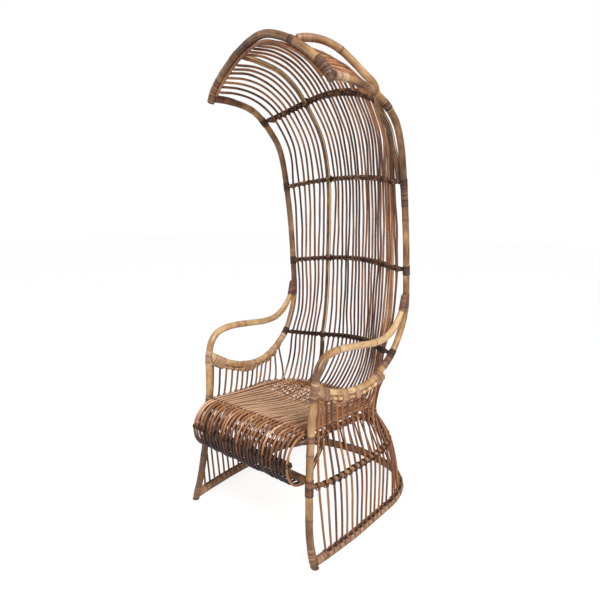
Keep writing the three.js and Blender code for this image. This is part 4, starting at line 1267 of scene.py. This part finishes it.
for side in (1, -1):
    near = side > 0
    side_pole, leg_pole = (side_curves[side], SIDE_POLE_RADIUS), (leg_curves[side], LEG_RADIUS)
    # Ends of the bands on the side poles.
    for band in BANDS:
        at = side_share_at(height_at(band[1]))
        wrapped(dark_wraps, *side_pole, at - 0.011, at + 0.011, 3.4, 1.6, (0.2, 0.6))
    # Side pole and arm rail together, and the pole below the lower band.
    tone = (0.35, 0.8) if near else (0.6, 1.0)
    for low, high in RAIL_WRAPS[side]:
        wrapped(cane_wraps, *side_pole, low, high, 3.6, 1.2, tone, arm_rails[side])
    wrapped(cane_wraps, *side_pole, 0.242, 0.276, 3.6, 1.4, (0.1, 0.5) if near else tone)
    # Arm pole's end beside the side pole.
    count = 40
    beside = side_curves[side].at(np.linspace(0.383, 0.424, count))
    arm_end = leg_curves[side].at(np.linspace(0.958, 1.0, count))
    closing = 0.5 * np.clip(np.linspace(-1, 1, count), 0, 1)[:, None]
    winding(cane_wraps, beside, SIDE_POLE_RADIUS, 4.0, 1.0, sides=20, tone=(0.1, 0.5),
            other=arm_end + (beside - arm_end) * closing)
    # Front post: the arm's joint, the seat rail, the mid hoop on the near side, and the foot.
    # This wrap's light tones are partly its own tan and partly painted light against the shade on it.
    wrapped(cane_wraps, *leg_pole, 0.455, 0.5, 3.8, 1.3, (0.4, 0.9))
    wrapped(cane_wraps, *leg_pole, 0.335, 0.356, 3.6, 1.6, (0.25, 0.6))
    if near:
        wrapped(cane_wraps, *leg_pole, 0.192, 0.24, 4.6, 1.9, (0.0, 0.45))
    wrapped(cane_wraps, *leg_pole, 0.02, 0.06, 3.4, 0.8, (0.25, 0.65))
    # Hood corner.
    low, high, tone = (0.955, 0.992, (0.5, 0.9)) if near else (0.935, 0.998, (0.1, 0.45))
    wrapped(cane_wraps, *side_pole, low, high, 3.4, 0.8, tone)
# Further ones: shares, length of a turn, height of the strand and tones.
near_pole, hood_arch = (side_curves[1], SIDE_POLE_RADIUS), (arch_curve, ARCH_RADIUS)
for piece, wound, low, high, turn, height, tone in (
    (cane_wraps, near_pole, 0.817, 0.842, 3.6, 1.0, (0.4, 0.8)),
    (cane_wraps, near_pole, 0.868, 0.886, 3.6, 1.2, (0.2, 0.6)),
    (dark_wraps, near_pole, 0.612, 0.656, 3.8, 0.9, (0.4, 0.9)),
    (dark_wraps, hood_arch, 0.0, 0.13, 3.6, 1.0, (0.4, 0.9)),
    (cane_wraps, hood_arch, 0.285, 0.325, 3.8, 1.0, (0.0, 0.3)),
    (cane_wraps, hood_arch, 0.685, 0.735, 3.6, 0.9, (0.05, 0.35)),
    (cane_wraps, hood_arch, 0.865, 0.999, 3.6, 0.8, (0.1, 0.45)),
    (cane_wraps, (right_stile, RIGHT_STILE_RADIUS), 0.03, 0.1, 3.8, 0.9, (0.4, 0.65)),
    (cane_wraps, (left_stile, LEFT_STILE_RADIUS), 0.006, 0.03, 3.6, 0.9, (0.1, 0.5)),
):
    wrapped(piece, *wound, low, high, turn, height, tone)
cane_wraps.build(cane_binding, "wrapped_hoop")
dark_wraps.build(dark_binding, "lashed_rod")


# Lashings where rods cross hoops and rails.
dark_lashings = Piece("dark_lashings")
cane_lashings = Piece("cane_lashings")
THIN_STRAND = 1.3
HOOP_STRAND = 1.25
LONG_ROD_STRAND = 1.4
STILE_STRAND = 1.9
for index, line in side_lines.items():
    for hoop, places, radius in skirt_rails:
        on_seat = hoop is seat_hoop
        shade = random.uniform(0.1, 0.6)
        if on_seat and index > 0.5 * len(seat_places):
            shade = random.uniform(0.4, 0.9)
        crossing(
            cane_lashings if on_seat else dark_lashings,
            hoop.at(places[index]), hoop.tangent(places[index]), radius,
            line, SKIRT_ROD_RADIUS, HOOP_STRAND, shade, drop=6 if on_seat and index in rear_index else 0,
        )
    middle = floor_hoop.at(floor_places[index])
    along = floor_hoop.tangent(floor_places[index])
    outward = outward_of(floor_hoop, floor_places[index])
    for sign in (1, -1):
        shade = random.uniform(0.1, 0.6)
        tilt = UP * FLOOR_HOOP_RADIUS * 0.97 + along * sign * 5
        across_hoop = outward * FLOOR_HOOP_RADIUS * 0.97
        loop(cane_lashings, middle + UP * 2.0, tilt, across_hoop, THIN_STRAND, shade)

# A dark cord along the top of the floor hoop, swelling between the feet of the rods.
shares = np.linspace(0.012, 0.988, 640)
phase = np.interp(shares, np.sort(floor_places), np.arange(len(floor_places)))
outward = np.array([outward_of(floor_hoop, share) for share in shares])
cord = floor_hoop.at(shares) + UP * FLOOR_HOOP_RADIUS * 0.8 + outward * FLOOR_HOOP_RADIUS * 0.2
swell = np.abs(np.sin(math.pi * phase)) ** 0.7
dark_lashings.tube(cord, 1.2 + 4.2 * swell, 8, tone=0.2)

# Pairs of loops round the arm rails, one pair for each side rod.
rail_loop = ARM_RAIL_RADIUS + 1.0
for side in (1, -1):
    rail = arm_rails[side]
    for share in np.linspace(*ARM_RAIL_RODS, SIDE_RODS):
        if share > RAIL_ENDS[side]:
            continue
        along = rail.tangent(share)
        across_rail = unit(np.cross(along, UP))
        for k in (-1, 1):
            centre = rail.at(share) + along * k * 3.6
            shade = random.uniform(0.2, 0.6)
            loop(cane_lashings, centre, UP * rail_loop, across_rail * rail_loop, THIN_STRAND, shade)

# The left stile on the bands.
stile_line = left_stile.stretch(0, 1, 4)
for level in (1, 2, 3, 4):
    middle, along = on_band(level - 1, LEFT_STILE[level]), along_band(level, LEFT_STILE[level], 0.03)
    shade = random.uniform(0.1, 0.5)
    crossing(
        dark_lashings, middle, along, BAND_RADIUS, stile_line, LEFT_STILE_RADIUS, STILE_STRAND, shade,
        strands=4,
    )

# Rods of the roll on its bar, and on the seat hoop and the slats.
for index, line in enumerate(long_lines):
    x = seat_rod_x(index)
    bar_point = np.array([x, roll_bar[1], roll_bar[2]])
    rod = (line, LONG_ROD_RADIUS, LONG_ROD_STRAND)
    crossing(dark_lashings, bar_point, ACROSS, ROLL_BAR_RADIUS, *rod, random.uniform(0.0, 0.7))
    along = seat_hoop.tangent(seat_hoop_share(x))
    shade = random.uniform(0.3, 0.8)
    crossing(
        cane_lashings, seat_hoop_at(x), along, SEAT_HOOP_RADIUS, *rod, shade, near=seat_line(x)[0]
    )
SLAT_LOOP_RISE = 3.4
slat_loop = UP * (SLAT_RADIUS + LONG_ROD_RADIUS + 1.2)
slat_loop_back = BACK * (SLAT_RADIUS + LONG_ROD_RADIUS + 1.2)
for index in range(2 * ROD_COUNT - 1):
    x = seat_rod_x(index / 2)
    front = front_slat + ACROSS * x + UP * SLAT_LOOP_RISE
    if index % 2:
        loop(cane_lashings, front, slat_loop, slat_loop_back * 0.8, 1.6, random.uniform(0.5, 1))
    else:
        loop(dark_lashings, front, slat_loop, slat_loop_back * 0.8, 1.6, 0.3)
        middle = dished(MIDDLE_DISH, x) - UP * (slat_drop - SLAT_LOOP_RISE)
        loop(dark_lashings, middle, slat_loop, slat_loop_back * 0.7, THIN_STRAND, random.uniform(0.1, 0.6))
dark_lashings.build(dark_binding, "lashed_rod")
cane_lashings.build(cane_binding, "lashed_rod")


def looking(name, data, position, across, over, ahead):
    """A camera or lamp in its place, looking ahead."""
    thing = bpy.data.objects.new(name, data)
    bpy.context.scene.collection.objects.link(thing)
    thing.matrix_world = Matrix([
        (across[i], over[i], -ahead[i], position[i]) for i in range(3)
    ] + [(0, 0, 0, 1)])
    return thing


# Camera, as solved from the photograph's perspective, in metres and degrees.
PHOTO_PIXELS = 600
FOCAL_PIXELS = 497.1
SENSOR_WIDTH = 36
CAMERA_PLACE = (1.093, -1.3835, 1.074)
CAMERA_TURNS = (-39.58, -10.47, 0.44)
yaw, pitch, roll = (math.radians(turn) for turn in CAMERA_TURNS)
forward = np.array([math.sin(yaw) * math.cos(pitch), math.cos(yaw) * math.cos(pitch), math.sin(pitch)])
level_right = np.array([math.cos(yaw), -math.sin(yaw), 0])
level_up = np.cross(level_right, forward)
right = level_right * math.cos(roll) + level_up * math.sin(roll)
above = level_up * math.cos(roll) - level_right * math.sin(roll)
camera_data = bpy.data.cameras.new("camera")
camera_data.sensor_width = SENSOR_WIDTH
camera_data.lens = FOCAL_PIXELS / PHOTO_PIXELS * SENSOR_WIDTH
camera_data.shift_y = -0.001
camera_data.clip_end = 50
bpy.context.scene.camera = looking("camera", camera_data, CAMERA_PLACE, right, above, forward)

# Floor, world and lamps. The floor and the sky look white to the camera, and light the chair less.
white_floor = bpy.data.materials.new("white_floor")
s = Shader(white_floor)
seen = s.node("ShaderNodeLightPath").outputs["Is Camera Ray"]
lit = s.node("ShaderNodeBsdfDiffuse", {"Color": (0.8, 0.8, 0.8, 1)})
shown = s.node("ShaderNodeBsdfDiffuse", {"Color": (0.3, 0.3, 0.3, 1)})
glow = s.node("ShaderNodeEmission", {"Color": (1, 1, 1, 1), "Strength": 0.85})
pale = s.node("ShaderNodeAddShader", {0: shown.outputs[0], 1: glow.outputs[0]})
s.finish(s.node("ShaderNodeMixShader", {0: seen, 1: lit.outputs[0], 2: pale.outputs[0]}))
bpy.ops.mesh.primitive_plane_add(size=30, location=(0, 0, 0))
floor = bpy.context.object
floor.name = "floor"
floor.data.materials.append(white_floor)

world = bpy.data.worlds.new("world")
bpy.context.scene.world = world
s = Shader(world, "ShaderNodeOutputWorld")
seen = s.node("ShaderNodeLightPath").outputs["Is Camera Ray"]
lit, pale = (
    s.node("ShaderNodeBackground", {"Color": (1, 1, 1, 1), "Strength": strength})
    for strength in (0.45, 1.0)
)
s.finish(s.node("ShaderNodeMixShader", {0: seen, 1: lit.outputs[0], 2: pale.outputs[0]}))


def lamp(name, position, aim, size, power):
    data = bpy.data.lights.new(name, "AREA")
    data.shape = "DISK"
    data.size = size
    data.energy = power
    ahead = unit(np.array(aim) - np.array(position))
    aside = unit(np.cross(ahead, UP))
    looking(name, data, position, aside, np.cross(aside, ahead), ahead)


CHAIR_MIDDLE = (0, 0, 0.7)
lamp("key", (2.6, -1.6, 3.0), CHAIR_MIDDLE, 1.6, 110)
lamp("fill", (-2.6, -2.4, 1.6), CHAIR_MIDDLE, 2.0, 18)

bpy.context.scene.view_settings.view_transform = "Standard"
